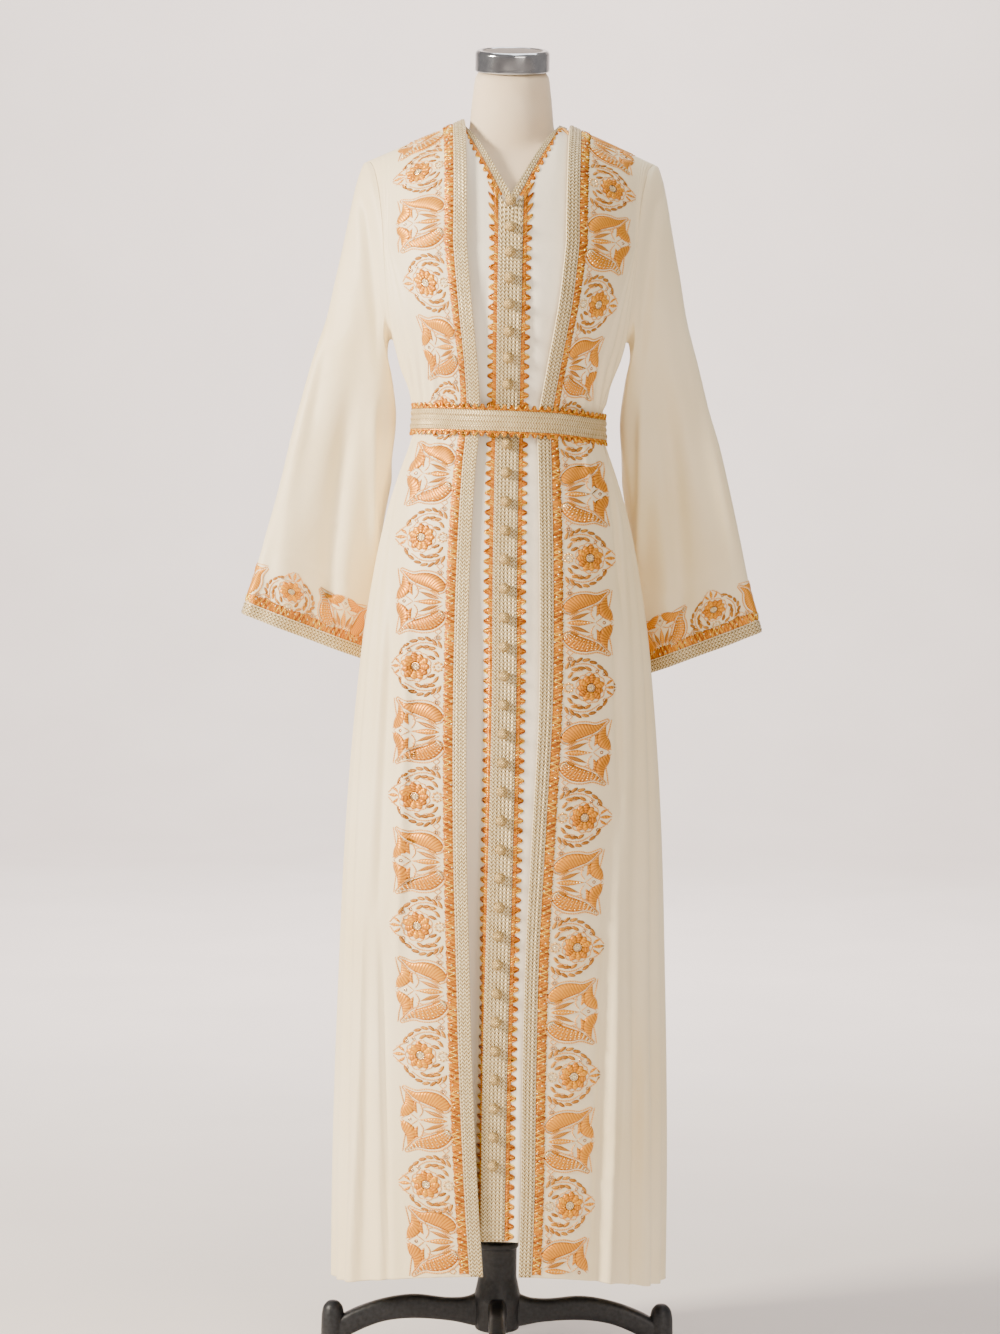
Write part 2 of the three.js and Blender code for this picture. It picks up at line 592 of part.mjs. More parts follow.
// ---------------------------------------------------------------- the inner dress
// Its columns from the left side seam to the right one: the distance from the placket's middle below the
// chest, and the distance from the middle where they reach the neckline or the shoulder seam.
const INNER_COLUMNS = [
  { from: "side", share: 1, seam: -INNER_TIP },
  { from: "side", share: 0.67, seam: -144 },
  { from: "side", share: 0.34, seam: -120 },
  { from: "middle", off: -80, seam: -94 },
  { from: "middle", off: -52, seam: -68 },
  { from: "middle", off: -32, seam: -43 },
  { from: "middle", off: -16, seam: -20 },
  { from: "middle", off: 0, seam: 0 },
  { from: "middle", off: 16, seam: 20 },
  { from: "middle", off: 32, seam: 43 },
  { from: "middle", off: 52, seam: 68 },
  { from: "middle", off: 80, seam: 94 },
  { from: "side", share: 0.34, seam: 120 },
  { from: "side", share: 0.67, seam: 144 },
  { from: "side", share: 1, seam: INNER_TIP },
];
const NECK_V = { bottom: 1532, top: 1630, half: 68, braid: 12 };
// How much longer the way down a column is than the way square across the neck's braid.
const NECK_SLANT = Math.hypot(NECK_V.top - NECK_V.bottom, NECK_V.half) / NECK_V.half;
const LAID_HALF = 80; // the columns beside the placket reach this far from its middle
const ARMHOLE_INSET = 6; // the inner dress's armhole lies inside the robe's
const NECK_SHARES = [0.3, 0.58, 0.8]; // rows between the chest and the neck's braid
// How far the placket's middle stands off the middle, and how deep the cloth folds in beside it.
const PLACKET = [
  { z: 190, off: -8, fold: 22 },
  { z: 420, off: -7, fold: 22 },
  { z: 700, off: -3, fold: 16 },
  { z: 900, off: -1, fold: 7 },
  { z: 1060, off: -2, fold: 0 },
  { z: 1246, off: -1, fold: 0 },
  { z: 1470, off: 0, fold: 0 },
];
const DEEPEST_COLUMN = 5;

// How far over the shoulder the front reaches at seamX: to the V of the neckline, or to the seam.
function neckReach(seamX) {
  const share = Math.abs(seamX) / NECK_V.half;
  if (share >= 1) return 1;
  const z = lerp(NECK_V.bottom, NECK_V.top, share);
  const rise = (z - CHEST) / (seamHeight(seamX) - LAYER.inner.seam - CHEST);
  return (Math.asin(Math.min(rise, 1)) * 2) / Math.PI;
}

function innerFrontPoint(level, column, wall) {
  const z = level === "hem" ? INNER_HEM.front : heightOf(level);
  const { from, share, off, seam } = INNER_COLUMNS[column];
  const middle = read(PLACKET, "off", z);
  const inward = z > UNDERARM ? ARMHOLE_INSET : SEAM_GAP / 2;
  const limit = armholeAngle(z) - inward / read(FIGURE, "wide", z);
  const sign = Math.sign(seam) || 1;
  const last = angleOf(LAID_HALF + sign * middle, z);
  const angle = from === "middle" ? angleOf(middle + off, z) : sign * lerp(last, limit, share);
  const fold = column === DEEPEST_COLUMN ? -read(PLACKET, "fold", z) : 0;
  let at = level === "hem" ? hemHeight(INNER_HEM, angle) : level;
  if (isOver(level)) at = { over: level.over * neckReach(seam) };
  return layerPoint(LAYER.inner, at, angle, seam, wall, fold);
}

// The row under the neckline lies one braid's width below it.
const NECK_CURVE = 0.95; // the way over the shoulder as a share of a quarter circle's
function innerFront() {
  const curve = (column) => {
    const seam = INNER_COLUMNS[column].seam;
    return (seamHeight(seam) - CHEST) * (Math.PI / 2) * neckReach(seam) * NECK_CURVE;
  };
  const levels = ["hem", ...INNER_ROWS];
  const grid = (wall) => {
    const columns = INNER_COLUMNS.map((_, c) => c);
    const below = levels.map((level) => columns.map((c) => innerFrontPoint(level, c, wall)));
    const under = columns.map((c) => 1 - (NECK_V.braid * NECK_SLANT) / curve(c));
    const over = NECK_SHARES.map((s) => columns.map((c) => innerFrontPoint({ over: s * under[c] }, c, wall)));
    const braidRow = columns.map((c) => innerFrontPoint({ over: under[c] }, c, wall));
    const topRow = columns.map((c) => innerFrontPoint({ over: 1 }, c, wall));
    return [...below, ...over, braidRow, topRow];
  };
  return { grids: [grid(0), grid(INNER_CLOTH)], panel: new Panel(grid(0), grid(INNER_CLOTH)) };
}

// The front opens down its middle: each half is one side of it, and they meet under the placket.
function innerHalf(grids, sign) {
  const middle = (INNER_COLUMNS.length - 1) / 2;
  const half = grids.map((grid) =>
    grid.map((row) => {
      const part = (sign < 0 ? row.slice(0, middle + 1) : row.slice(middle)).map((p) => p.clone());
      part[sign < 0 ? middle : 0].x += (sign * SEAM_GAP) / 2;
      return part;
    }),
  );
  return wallGeometry(...half);
}

const INNER_BACK_COLUMNS = 10;
function innerBack() {
  const rightSeams = [INNER_TIP, 122, NECK_V.half, 46, 23];
  const seams = [...rightSeams, 0, ...rightSeams.map((seam) => -seam).reverse()];
  const rowAt = (level, wall) =>
    seams.map((seam, c) => {
      const z = level === "hem" ? INNER_HEM.back : heightOf(level);
      const inward = z > UNDERARM ? ARMHOLE_INSET : SEAM_GAP / 2;
      const start = Math.PI - armholeAngle(z) + inward / read(FIGURE, "wide", z);
      const angle = lerp(start, 2 * Math.PI - start, c / INNER_BACK_COLUMNS);
      const share = Math.min(Math.abs(seam) / NECK_V.half, 1);
      const reach = lerp(NECKLINE_BACK, 1, share ** 3);
      let at = level === "hem" ? hemHeight(INNER_HEM, angle) : level;
      if (isOver(level)) at = { over: level.over * reach };
      return layerPoint(LAYER.inner, at, angle, seam, wall, 0);
    });
  const levels = ["hem", ...INNER_ROWS, ...OVER.map((over) => ({ over }))];
  const grid = (wall) => levels.map((level) => rowAt(level, wall));
  return new Panel(grid(0), grid(INNER_CLOTH));
}

function innerTrims(panel) {
  const middle = (INNER_COLUMNS.length - 1) / 2;
  const top = panel.outer.length - 1;
  const { edge, groove, plait } = PLACKET_BRAID;
  const rib = (column, high) => ({ column: () => middle + column, high });
  const placket = panel.strip(finerRows(0, top - 1, 1), [
    rib(-0.98, edge),
    rib(-0.66, plait),
    rib(-0.33, groove),
    rib(0, plait),
    rib(0.33, groove),
    rib(0.66, plait),
    rib(0.98, edge),
  ]);
  const neck = (columns) => {
    const rows = [top - 0.98, top - 0.66, top - 0.33, top];
    const high = [edge, plait, groove, plait];
    const layer = (lift) => rows.map((row, k) => columns.map((c) => panel.point(row, c, lift(k))));
    return wallGeometry(layer((k) => SEAM_GAP + high[k]), layer(() => SEAM_GAP));
  };
  return {
    placket,
    left: neck([middle - 3, middle - 2, middle - 1, middle - 0.02]),
    right: neck([middle + 0.02, middle + 1, middle + 2, middle + 3]),
  };
}

// ---------------------------------------------------------------- buttons
const BUTTON_RADIUS = 5.4;
const BUTTON_SIDES = 6;
const BUTTON_RUNS = [
  { name: "upper", count: 8, top: 1521, step: 32.4 },
  { name: "lower", count: 26, top: 1216, step: 36.4 },
];

// Each button sits on the placket's middle rib, one seam gap above it.
function buttons(panel) {
  const middle = (INNER_COLUMNS.length - 1) / 2;
  const rib = SEAM_GAP + PLACKET_BRAID.plait;
  const lift = rib + SEAM_GAP + BUTTON_RADIUS * Math.cos(Math.PI / BUTTON_SIDES);
  const made = [];
  for (const run of BUTTON_RUNS)
    for (let k = 0; k < run.count; k++) {
      const z = run.top - k * run.step;
      let row = 0;
      while (row < panel.outer.length - 2 && panel.outer[row + 1][middle].z < z) row++;
      const low = panel.outer[row][middle].z;
      const share = (z - low) / (panel.outer[row + 1][middle].z - low);
      const geometry = new THREE.SphereGeometry(BUTTON_RADIUS, BUTTON_SIDES, 4);
      geometry.rotateX(Math.PI / 2);
      made.push({
        name: `button_${run.name}_${String(k + 1).padStart(2, "0")}`,
        geometry,
        place: panel.point(row + share, middle, lift),
      });
    }
  return made;
}

// ---------------------------------------------------------------- the belt
const BELT = { out: 3.6, tilt: 0.03, columns: 34 };
const BELT_SECTION = [
  { z: -23, high: 1.0 },
  { z: -14, high: 1.4 },
  { z: -9, high: 2.8 },
  { z: 0, high: 2.1 },
  { z: 9, high: 2.8 },
  { z: 14, high: 1.4 },
  { z: 23, high: 1.0 },
];
function belt() {
  const grid = (highOf) =>
    BELT_SECTION.map((row) =>
      Array.from({ length: BELT.columns }, (_, k) => {
        const angle = (k / BELT.columns) * 2 * Math.PI;
        const p = ringPoint(angle, WAIST + row.z, -BELT.out - highOf(row));
        p.z -= BELT.tilt * p.x;
        return p;
      }),
    );
  return wallGeometry(grid((row) => row.high), grid(() => 0), true);
}

// ---------------------------------------------------------------- the dress form and its stand
const FORM_SIDES = 22; // even, so that a column runs down each side
const FORM_LOW = 950;
const FORM_OVER = 0.965; // the last ring before the shoulder seam
const FORM_FOOT = [
  { up: 0, inset: 22 },
  { up: 8, inset: 8 },
  { up: 26, inset: 0 },
];
const NECK_CENTRE = 4; // the neck stands this far behind the middle
const NECK = [
  { z: 1540, wide: 58, front: 57, back: 52, tilt: 0 },
  { z: 1590, wide: 56, front: 56, back: 52, tilt: 0.02 },
  { z: 1615, wide: 55, front: 54, back: 51, tilt: 0.08 },
  { z: 1640, wide: 54, front: 53, back: 50, tilt: 0.15 },
  { z: 1668, wide: 51, front: 50, back: 49, tilt: 0.22 },
  { z: 1699, wide: 48, front: 48, back: 48, tilt: 0.25 },
];
const CAP = { radius: 48.3, high: 27, rounding: 3.5, gap: 0.4 };

// A solid from level rings, closed by a fan at each end. Where the last ring is long and thin, it is closed
// instead by rungs across it, from its column rungsFrom.
function loft(rings, rungsFrom) {
  const columns = rings[0].length;
  const points = rings.flat();
  const faces = [];
  for (let r = 0; r < rings.length - 1; r++)
    for (let c = 0; c < columns; c++) {
      const [a, b] = [r * columns + c, r * columns + ((c + 1) % columns)];
      faces.push([a, b, b + columns], [a, b + columns, a + columns]);
    }
  const end = (first, flip) => {
    const middle = points.length;
    const ring = points.slice(first, first + columns);
    points.push(ring.reduce((sum, p) => sum.add(p), new THREE.Vector3()).divideScalar(columns));
    for (let c = 0; c < columns; c++) {
      const [a, b] = [first + c, first + ((c + 1) % columns)];
      faces.push(flip ? [middle, b, a] : [middle, a, b]);
    }
  };
  end(0, true);
  const last = (rings.length - 1) * columns;
  if (rungsFrom === undefined) end(last, false);
  else
    for (let i = 0; i < columns / 2; i++) {
      const on = (k) => last + ((rungsFrom + k + columns) % columns);
      if (i > 0) faces.push([on(-i), on(i), on(i + 1)]);
      if (i < columns / 2 - 1) faces.push([on(-i), on(i + 1), on(-i - 1)]);
    }
  return closedGeometry(points, faces);
}

const solidOf = (geometry) => {
  const bare = geometry.clone();
  bare.deleteAttribute("normal");
  bare.deleteAttribute("uv");
  const merged = mergeVertices(bare, 1e-3);
  return new wasm.Manifold(
    new wasm.Mesh({
      numProp: 3,
      vertProperties: merged.attributes.position.array,
      triVerts: new Uint32Array(merged.index.array),
    }),
  );
};
const geometryOf = (solid) => {
  const mesh = solid.getMesh();
  const points = [];
  for (let i = 0; i < mesh.numVert; i++)
    points.push(new THREE.Vector3().fromArray(mesh.vertProperties, i * mesh.numProp));
  const faces = [];
  for (let i = 0; i < mesh.triVerts.length; i += 3) faces.push([...mesh.triVerts.slice(i, i + 3)]);
  return closedGeometry(points, faces);
};

function formBody() {
  // From the left side round the front and the back.
  const angles = Array.from({ length: FORM_SIDES }, (_, k) => (k / FORM_SIDES) * 2 * Math.PI - SIDE);
  const body = LAYER.form.body;
  const rings = FORM_FOOT.map((row) => angles.map((a) => ringPoint(a, FORM_LOW + row.up, body + row.inset)));
  for (const z of FORM_ROWS) rings.push(angles.map((a) => ringPoint(a, z, body)));
  const seamX = (a) => SHOULDER_HALF * power(Math.sin(a), ROUNDNESS);
  for (const over of [...OVER.slice(0, -1), FORM_OVER])
    rings.push(angles.map((a) => layerPoint(LAYER.form, { over }, a, seamX(a), 0, 0)));
  const neck = NECK.map((row) =>
    Array.from({ length: FORM_SIDES }, (_, k) => {
      const a = (k / FORM_SIDES) * 2 * Math.PI;
      const y = -(Math.cos(a) > 0 ? row.front : row.back) * Math.cos(a);
      return new THREE.Vector3(row.wide * Math.sin(a), y + NECK_CENTRE, row.z + row.tilt * y);
    }),
  );
  return geometryOf(solidOf(loft(rings, 0)).add(solidOf(loft(neck))));
}

// A shape turned round +Z from corners given as radius and height.
function turnedShape(corners, sides) {
  const profile = corners.map(([radius, height]) => new THREE.Vector2(radius, height));
  return new THREE.LatheGeometry(profile, sides).rotateX(Math.PI / 2);
}

// The metal cap lies on the neck's slanting top.
function neckCap() {
  const { radius, high, rounding } = CAP;
  const corners = [
    [0, 0],
    [radius, 0],
    [radius, high - rounding],
    [radius - rounding * 0.3, high - rounding * 0.3],
    [radius - rounding, high],
    [0, high],
  ];
  return turnedShape(corners, FORM_SIDES);
}

const POLE = { radius: 13.2, low: 150, sides: 20 };
const HUB = { radius: 25, top: 176, low: 58, sides: 16 };
const LEG = { count: 4, reach: 216, wide: 22, footSides: 10 };
// Corners of the hub and of a foot, as radius and height.
const HUB_CORNERS = [
  [0, HUB.low],
  [29, HUB.low],
  [31, 100],
  [HUB.radius, 128],
  [HUB.radius, HUB.top - 3],
  [HUB.radius - 3, HUB.top],
  [0, HUB.top],
];
const FOOT_CORNERS = [
  [0, 0],
  [18, 0],
  [18, 10],
  [16, 26],
  [15, 79],
  [10, 90],
  [0, 93],
];
// The leg's upper and lower edges from the hub to its foot.
const LEG_EDGES = [
  { out: 8, top: 128, low: 58 },
  { out: 30, top: 104, low: 62 },
  { out: 60, top: 98, low: 68 },
  { out: 110, top: 102, low: 71 },
  { out: 150, top: 96, low: 66 },
  { out: 185, top: 84, low: 52 },
  { out: 212, top: 70, low: 36 },
];

function standBase() {
  const shape = new THREE.Shape(LEG_EDGES.map((p) => new THREE.Vector2(p.out, p.top)));
  for (const p of [...LEG_EDGES].reverse()) shape.lineTo(p.out, p.low);
  const legGeometry = () =>
    new THREE.ExtrudeGeometry(shape, { depth: LEG.wide, bevelEnabled: false })
      .translate(0, 0, -LEG.wide / 2)
      .rotateX(Math.PI / 2);
  let solid = solidOf(turnedShape(HUB_CORNERS, HUB.sides));
  for (let k = 0; k < LEG.count; k++) {
    const turn = (k / LEG.count) * 2 * Math.PI;
    const foot = turnedShape(FOOT_CORNERS, LEG.footSides).translate(LEG.reach, 0, 0).rotateZ(turn);
    solid = solid.add(solidOf(legGeometry().rotateZ(turn))).add(solidOf(foot));
  }
  const socketRadius = POLE.radius + SEAM_GAP;
  const socketHigh = 60;
  const socket = new THREE.CylinderGeometry(socketRadius, socketRadius, socketHigh, POLE.sides)
    .rotateX(Math.PI / 2)
    .translate(0, 0, POLE.low - SEAM_GAP + socketHigh / 2);
  return geometryOf(solid.subtract(solidOf(socket)));
}

// ---------------------------------------------------------------- the assembly
const dress = new THREE.Group();
function add(name, geometry, colour, place) {
  const mesh = new THREE.Mesh(geometry, new THREE.MeshStandardMaterial(colour));
  mesh.name = name;
  if (place) mesh.position.copy(place);
  dress.add(mesh);
  return mesh;
}

const fronts = { left: robeFront("left"), right: robeFront("right") };
const back = robeBack();
add("robe_back", back.geometry, COLOUR.satin);
for (const side of ["left", "right"]) {
  add(`robe_front_${side}`, fronts[side].geometry, COLOUR.satin);
  const trims = frontTrims(side, fronts[side]);
  add(`front_braid_${side}`, trims.braid, COLOUR.braid);
  add(`front_border_${side}`, trims.border, COLOUR.embroidery);
  const tube = sleeve(side, fronts[side], back);
  add(`sleeve_${side}`, tube.geometry, COLOUR.satin);
  const cuff = cuffTrims(tube);
  add(`cuff_braid_${side}`, cuff.braid, COLOUR.braid);
  add(`cuff_border_${side}`, cuff.border, COLOUR.embroidery);
}

const { grids: innerGrids, panel: inner } = innerFront();
add("inner_front_left", innerHalf(innerGrids, -1), COLOUR.innerSatin);
add("inner_front_right", innerHalf(innerGrids, 1), COLOUR.innerSatin);
add("inner_back", innerBack().geometry, COLOUR.innerSatin);
const innerLaid = innerTrims(inner);
add("placket", innerLaid.placket, COLOUR.braid);
add("neck_braid_left", innerLaid.left, COLOUR.braid);
add("neck_braid_right", innerLaid.right, COLOUR.braid);
for (const button of buttons(inner)) add(button.name, button.geometry, COLOUR.button, button.place);
add("belt", belt(), COLOUR.braid);

add("dress_form", formBody(), COLOUR.jersey);
const top = NECK[NECK.length - 1];
const capPlace = new THREE.Vector3(0, NECK_CENTRE, top.z + CAP.gap);
const cap = add("neck_cap", neckCap(), COLOUR.chrome, capPlace);
cap.rotation.x = Math.atan(top.tilt);
const poleTop = FORM_LOW - SEAM_GAP;
const pole = new THREE.CylinderGeometry(POLE.radius, POLE.radius, poleTop - POLE.low, POLE.sides);
add("pole", pole.rotateX(Math.PI / 2), COLOUR.steel, new THREE.Vector3(0, 0, (poleTop + POLE.low) / 2));
add("stand_base", standBase(), COLOUR.iron);

export default dress;
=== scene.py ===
"""The fine model of an evening dress of Maghrebi cut, on its dress form and stand.

An open satin robe with wide sleeves lies over a V-necked inner dress, and a braided belt gathers both. Blender's
frame is in metres, +Z up, and the dress faces -Y. Sizes below are millimetres and become metres in Net.build.
"""
import logging
import math
from dataclasses import dataclass, field
from enum import Enum

import bpy
import numpy as np
from mathutils import Matrix


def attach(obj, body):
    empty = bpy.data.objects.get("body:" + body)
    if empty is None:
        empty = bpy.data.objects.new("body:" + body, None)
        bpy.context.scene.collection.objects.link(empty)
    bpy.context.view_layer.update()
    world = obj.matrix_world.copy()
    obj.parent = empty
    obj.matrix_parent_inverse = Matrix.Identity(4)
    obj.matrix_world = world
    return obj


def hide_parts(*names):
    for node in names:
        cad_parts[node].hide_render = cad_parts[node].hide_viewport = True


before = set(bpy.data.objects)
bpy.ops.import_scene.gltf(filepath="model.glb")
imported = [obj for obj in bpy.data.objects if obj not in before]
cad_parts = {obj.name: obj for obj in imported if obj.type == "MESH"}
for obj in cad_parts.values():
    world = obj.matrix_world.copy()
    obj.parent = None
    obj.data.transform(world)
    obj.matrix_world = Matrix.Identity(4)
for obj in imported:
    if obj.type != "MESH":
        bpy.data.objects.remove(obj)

LOG = logging.getLogger("dress")
MM = 0.001
ROOT = "root"
Array = np.ndarray
Values = Array | float
Piece = bpy.types.Object
Tree = bpy.types.NodeTree
Node = bpy.types.Node
Socket = bpy.types.NodeSocket
Span = tuple[float, float]
Line = list[Span]
Laid = tuple[Array, Array]


# ---- numbers and curves
class Table:
    """Rows of named columns, read as smooth curves over the first one."""

    def __init__(self, names: str, rows: list[tuple[float, ...]]) -> None:
        """Keeps the columns.

        Args:
            names: the columns' names in order, parted by spaces. The first is what the others are read by.
            rows: the table's rows.
        """
        values = np.array(rows, dtype=float).T
        self.key = values[0]
        self.column = dict(zip(names.split()[1:], values[1:]))

    def read(self, name: str, at: Values) -> Array:
        """Reads one column: cubic Hermite pieces whose slope at a row is that between its neighbours.

        Args:
            name: the column.
            at: where to read it.

        Returns:
            The values, level beyond both ends.
        """
        x, v = self.key, self.column[name]
        slope = np.gradient(v)
        slope[1:-1] = (v[2:] - v[:-2]) / (x[2:] - x[:-2])
        slope[0] = (v[1] - v[0]) / (x[1] - x[0])
        slope[-1] = (v[-1] - v[-2]) / (x[-1] - x[-2])
        i = np.clip(np.searchsorted(x, at, "right") - 1, 0, len(x) - 2)
        step = x[i + 1] - x[i]
        s = np.clip((at - x[i]) / step, 0, 1)
        rise = s * s * (3 - 2 * s)
        bow = s * (1 - s) * step * ((1 - s) * slope[i] - s * slope[i + 1])
        return v[i] * (1 - rise) + v[i + 1] * rise + bow


def mix(a: Values, b: Values, s: Values) -> Array:
    """Returns a + (b - a)·s."""
    return a + (b - a) * s


def power(value: Array, exponent: float) -> Array:
    """Returns sgn(value)·|value|^exponent."""
    return np.sign(value) * np.abs(value) ** exponent


def smooth(low: float, high: float, at: Array) -> Array:
    """Returns 3s² - 2s³, where s is at's share of the way from low to high, kept between 0 and 1."""
    s = np.clip((at - low) / (high - low), 0, 1)
    return s * s * (3 - 2 * s)


def lengths(points: Array) -> Array:
    """Returns how far along a run of points, the array's first axis, each of them lies, from 0 at the first."""
    steps = np.linalg.norm(np.diff(points, axis=0), axis=-1)
    return np.concatenate([np.zeros_like(steps[:1]), np.cumsum(steps, axis=0)])


def joined(*parts: Values) -> Array:
    """Returns the parts, spread to one shape, as the last axis of one array."""
    return np.stack(np.broadcast_arrays(*parts), axis=-1)


def turned(points: Array, angle: Values) -> Array:
    """Returns flat or solid points turned round the origin in x and y.

    Args:
        points: (..., 2 or 3) points.
        angle: radians, anticlockwise from above, for all the points or for each.
    """
    out = np.array(points, dtype=float)
    out[..., 0] = points[..., 0] * np.cos(angle) - points[..., 1] * np.sin(angle)
    out[..., 1] = points[..., 0] * np.sin(angle) + points[..., 1] * np.cos(angle)
    return out


# ---- meshes
class Net:
    """Gathers grids of points, each with its UVs in metres and a tone, into one mesh."""

    def __init__(self) -> None:
        """Starts empty."""
        self.points: list[Array] = []
        self.tone: list[Array] = []
        self.faces: list[Array] = []
        self.uv: list[Array] = []
        self.count = 0

    def add(
        self,
        points: Array,
        uv: Array,
        tone: Values = 0.5,
        outward: Array | None = None,
        ring: bool = False,
        closed: bool = True,
    ) -> None:
        """Adds N grids of K rows and J columns of points.

        Args:
            points: (N, K, J, 3) points in mm.
            uv: (N, K, J or J+1, 2) in mm, one more column for a ring.
            tone: one number for all the grids or for each, which a finish may read.
            outward: (N, K, J, 3) directions that the faces look in. Without it they look away from the middle.
            ring: whether the last column joins the first.
            closed: whether the open edges are closed by one flat face, or two for a ring.
        """
        n, k, j, _ = points.shape
        index = np.arange(n * k * j).reshape(n, k, j)
        index = np.concatenate([index, index[:, :, :1]], 2) if ring else index
        faces, coords = self.corners(index), self.corners(uv)
        flat = points.reshape(-1, 3)
        normal = np.cross(flat[faces[..., 2]] - flat[faces[..., 0]], flat[faces[..., 3]] - flat[faces[..., 1]])
        if outward is None:
            outward = points - points.mean(axis=(1, 2), keepdims=True)
        away = np.broadcast_to(outward, points.shape).reshape(-1, 3)[faces[..., 0]]
        inside_out = (normal * away).sum(axis=(1, 2, 3)) < 0
        rims = self.rims(index, uv, ring) if closed else []
        faces[inside_out] = faces[inside_out][..., ::-1]
        coords[inside_out] = coords[inside_out][..., ::-1, :]
        self.faces.append(faces.reshape(-1, 4) + self.count)
        self.uv.append(coords.reshape(-1, 4, 2))
        for rim, rim_uv in rims:
            rim[inside_out] = rim[inside_out][:, ::-1]
            self.faces.append(rim + self.count)
            self.uv.append(rim_uv)
        self.points.append(flat)
        self.tone.append(np.repeat(np.broadcast_to(tone, (n,)), k * j))
        self.count += len(flat)

    @staticmethod
    def corners(grid: Array) -> Array:
        """Returns the four corners of every cell of (N, K, J, ...) grids, in order round the cell."""
        return np.stack([grid[:, :-1, :-1], grid[:, :-1, 1:], grid[:, 1:, 1:], grid[:, 1:, :-1]], axis=3)

    @staticmethod
    def rims(index: Array, uv: Array, ring: bool) -> list[Laid]:
        """Returns the faces that close each grid's open edges, and their UVs, turned against the cells' order."""
        if ring:
            loops = [(index[:, 0, ::-1][:, 1:], uv[:, 0, ::-1][:, 1:]), (index[:, -1, :-1], uv[:, -1, :-1])]
            return [(a.copy(), b) for a, b in loops]

        def edge(grid: Array) -> Array:
            """Returns the outline of the grids, backwards."""
            parts = [grid[:, 0, :-1], grid[:, :-1, -1], grid[:, -1, :0:-1], grid[:, :0:-1, 0]]
            return np.concatenate(parts, axis=1)[:, ::-1].copy()

        return [(edge(index), edge(uv))]

    def build(self, name: str) -> Piece:
        """Makes the object, smooth shaded, in metres and at the origin.

        Args:
            name: the object's name.

        Returns:
            The object, linked to the scene.
        """
        mesh = bpy.data.meshes.new(name)
        points = np.concatenate(self.points) * MM
        sizes = np.concatenate([np.full(len(f), f.shape[1]) for f in self.faces])
        corners = np.concatenate([f.ravel() for f in self.faces]).astype(np.int32)
        mesh.vertices.add(len(points))
        mesh.vertices.foreach_set("co", points.ravel())
        mesh.loops.add(len(corners))
        mesh.loops.foreach_set("vertex_index", corners)
        mesh.polygons.add(len(sizes))
        mesh.polygons.foreach_set("loop_start", np.concatenate([[0], np.cumsum(sizes)[:-1]]).astype(np.int32))
        layer = mesh.uv_layers.new(name="UVMap")
        layer.data.foreach_set("uv", np.concatenate([u.reshape(-1, 2) for u in self.uv]).ravel() * MM)
        tone = mesh.attributes.new("tone", "FLOAT", "POINT")
        tone.data.foreach_set("value", np.concatenate(self.tone))
        mesh.update(calc_edges=True)
        mesh.shade_smooth()
        piece = bpy.data.objects.new(name, mesh)
        bpy.context.scene.collection.objects.link(piece)
        return piece


def thicken(piece: Piece, wall: float) -> Piece:
    """Gives a thin sheet its wall, inwards from the side it shows.

    Args:
        piece: the sheet.
        wall: its thickness in mm.

    Returns:
        The same piece.
    """
    solid = piece.modifiers.new("wall", "SOLIDIFY")
    solid.thickness, solid.offset = wall * MM, -1
    return piece


def present(piece: Piece, finish: "Finish", nodes: list[str]) -> Piece:
    """Dresses a piece, lets it ride on the body and hides the CAD nodes that it stands for.

    Args:
        piece: the new piece.
        finish: what it is made of.
        nodes: the nodes that it replaces.

    Returns:
        The same piece.
    """
    piece.data.materials.append(finish.material())
    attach(piece, ROOT)
    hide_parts(*nodes)
    LOG.info("%s: %d faces", piece.name, len(piece.data.polygons))
    return piece


@dataclass(frozen=True)
class Cut:
    """How a piece of cloth was cut: its greatest width and length in metres and its area in square metres."""

    wide: float
    long: float
    area: float
    held: str = "hung"

    def declare(self, piece: Piece, rests_on: list[str], trims: list[Piece]) -> None:
        """Takes a piece of this cut, what it hangs from or lies on, and what is sewn to it, and does nothing with them.
        """


# ---- finishes
def srgb(code: int) -> tuple[float, float, float, float]:
    """Returns a hex colour as linear values: c/12.92 near black, ((c + 0.055)/1.055)^2.4 elsewhere."""
    parts = [(code >> shift & 255) / 255 for shift in (16, 8, 0)]
    linear = [c / 12.92 if c <= 0.04045 else ((c + 0.055) / 1.055) ** 2.4 for c in parts]
    return (*linear, 1.0)


def node(tree: Tree, kind: str, inputs: dict | list | None = None, **settings) -> Node:
    """Adds a node to a material.

    Args:
        tree: the material's nodes.
        kind: the node's type, without the words ShaderNode.
        inputs: the value of each input or the socket that it is joined to, by name or number, or in order.
        settings: its properties. A ramp's stops are places from 0 to 1 and their hex colours.

    Returns:
        The node.
    """
    made = tree.nodes.new("ShaderNode" + kind)
    stops = settings.pop("stops", [])
    for name, value in settings.items():
        setattr(made, name, value)
    for _ in stops[2:]:
        made.color_ramp.elements.new(1)
    for k, (place, code) in enumerate(stops):
        made.color_ramp.elements[k].position, made.color_ramp.elements[k].color = place, srgb(code)
    for key, value in inputs.items() if isinstance(inputs, dict) else enumerate(inputs or []):
        if isinstance(value, Socket):
            tree.links.new(value, made.inputs[key])
        else:
            made.inputs[key].default_value = value
    return made


def per_metre(size: float) -> float:
    """Returns how many times a size in mm goes into a metre, for a pattern's scale."""
    return 1 / (size * MM)


def ridges(tree: Tree, place: Socket, size: float) -> Socket:
    """Returns a triangle wave of a place in metres, from 0 to 0.5 and back once in every size mm."""
    scaled = node(tree, "Math", [place, per_metre(size)], operation="MULTIPLY").outputs[0]
    return node(tree, "Math", [scaled, 0.5], operation="PINGPONG").outputs[0]


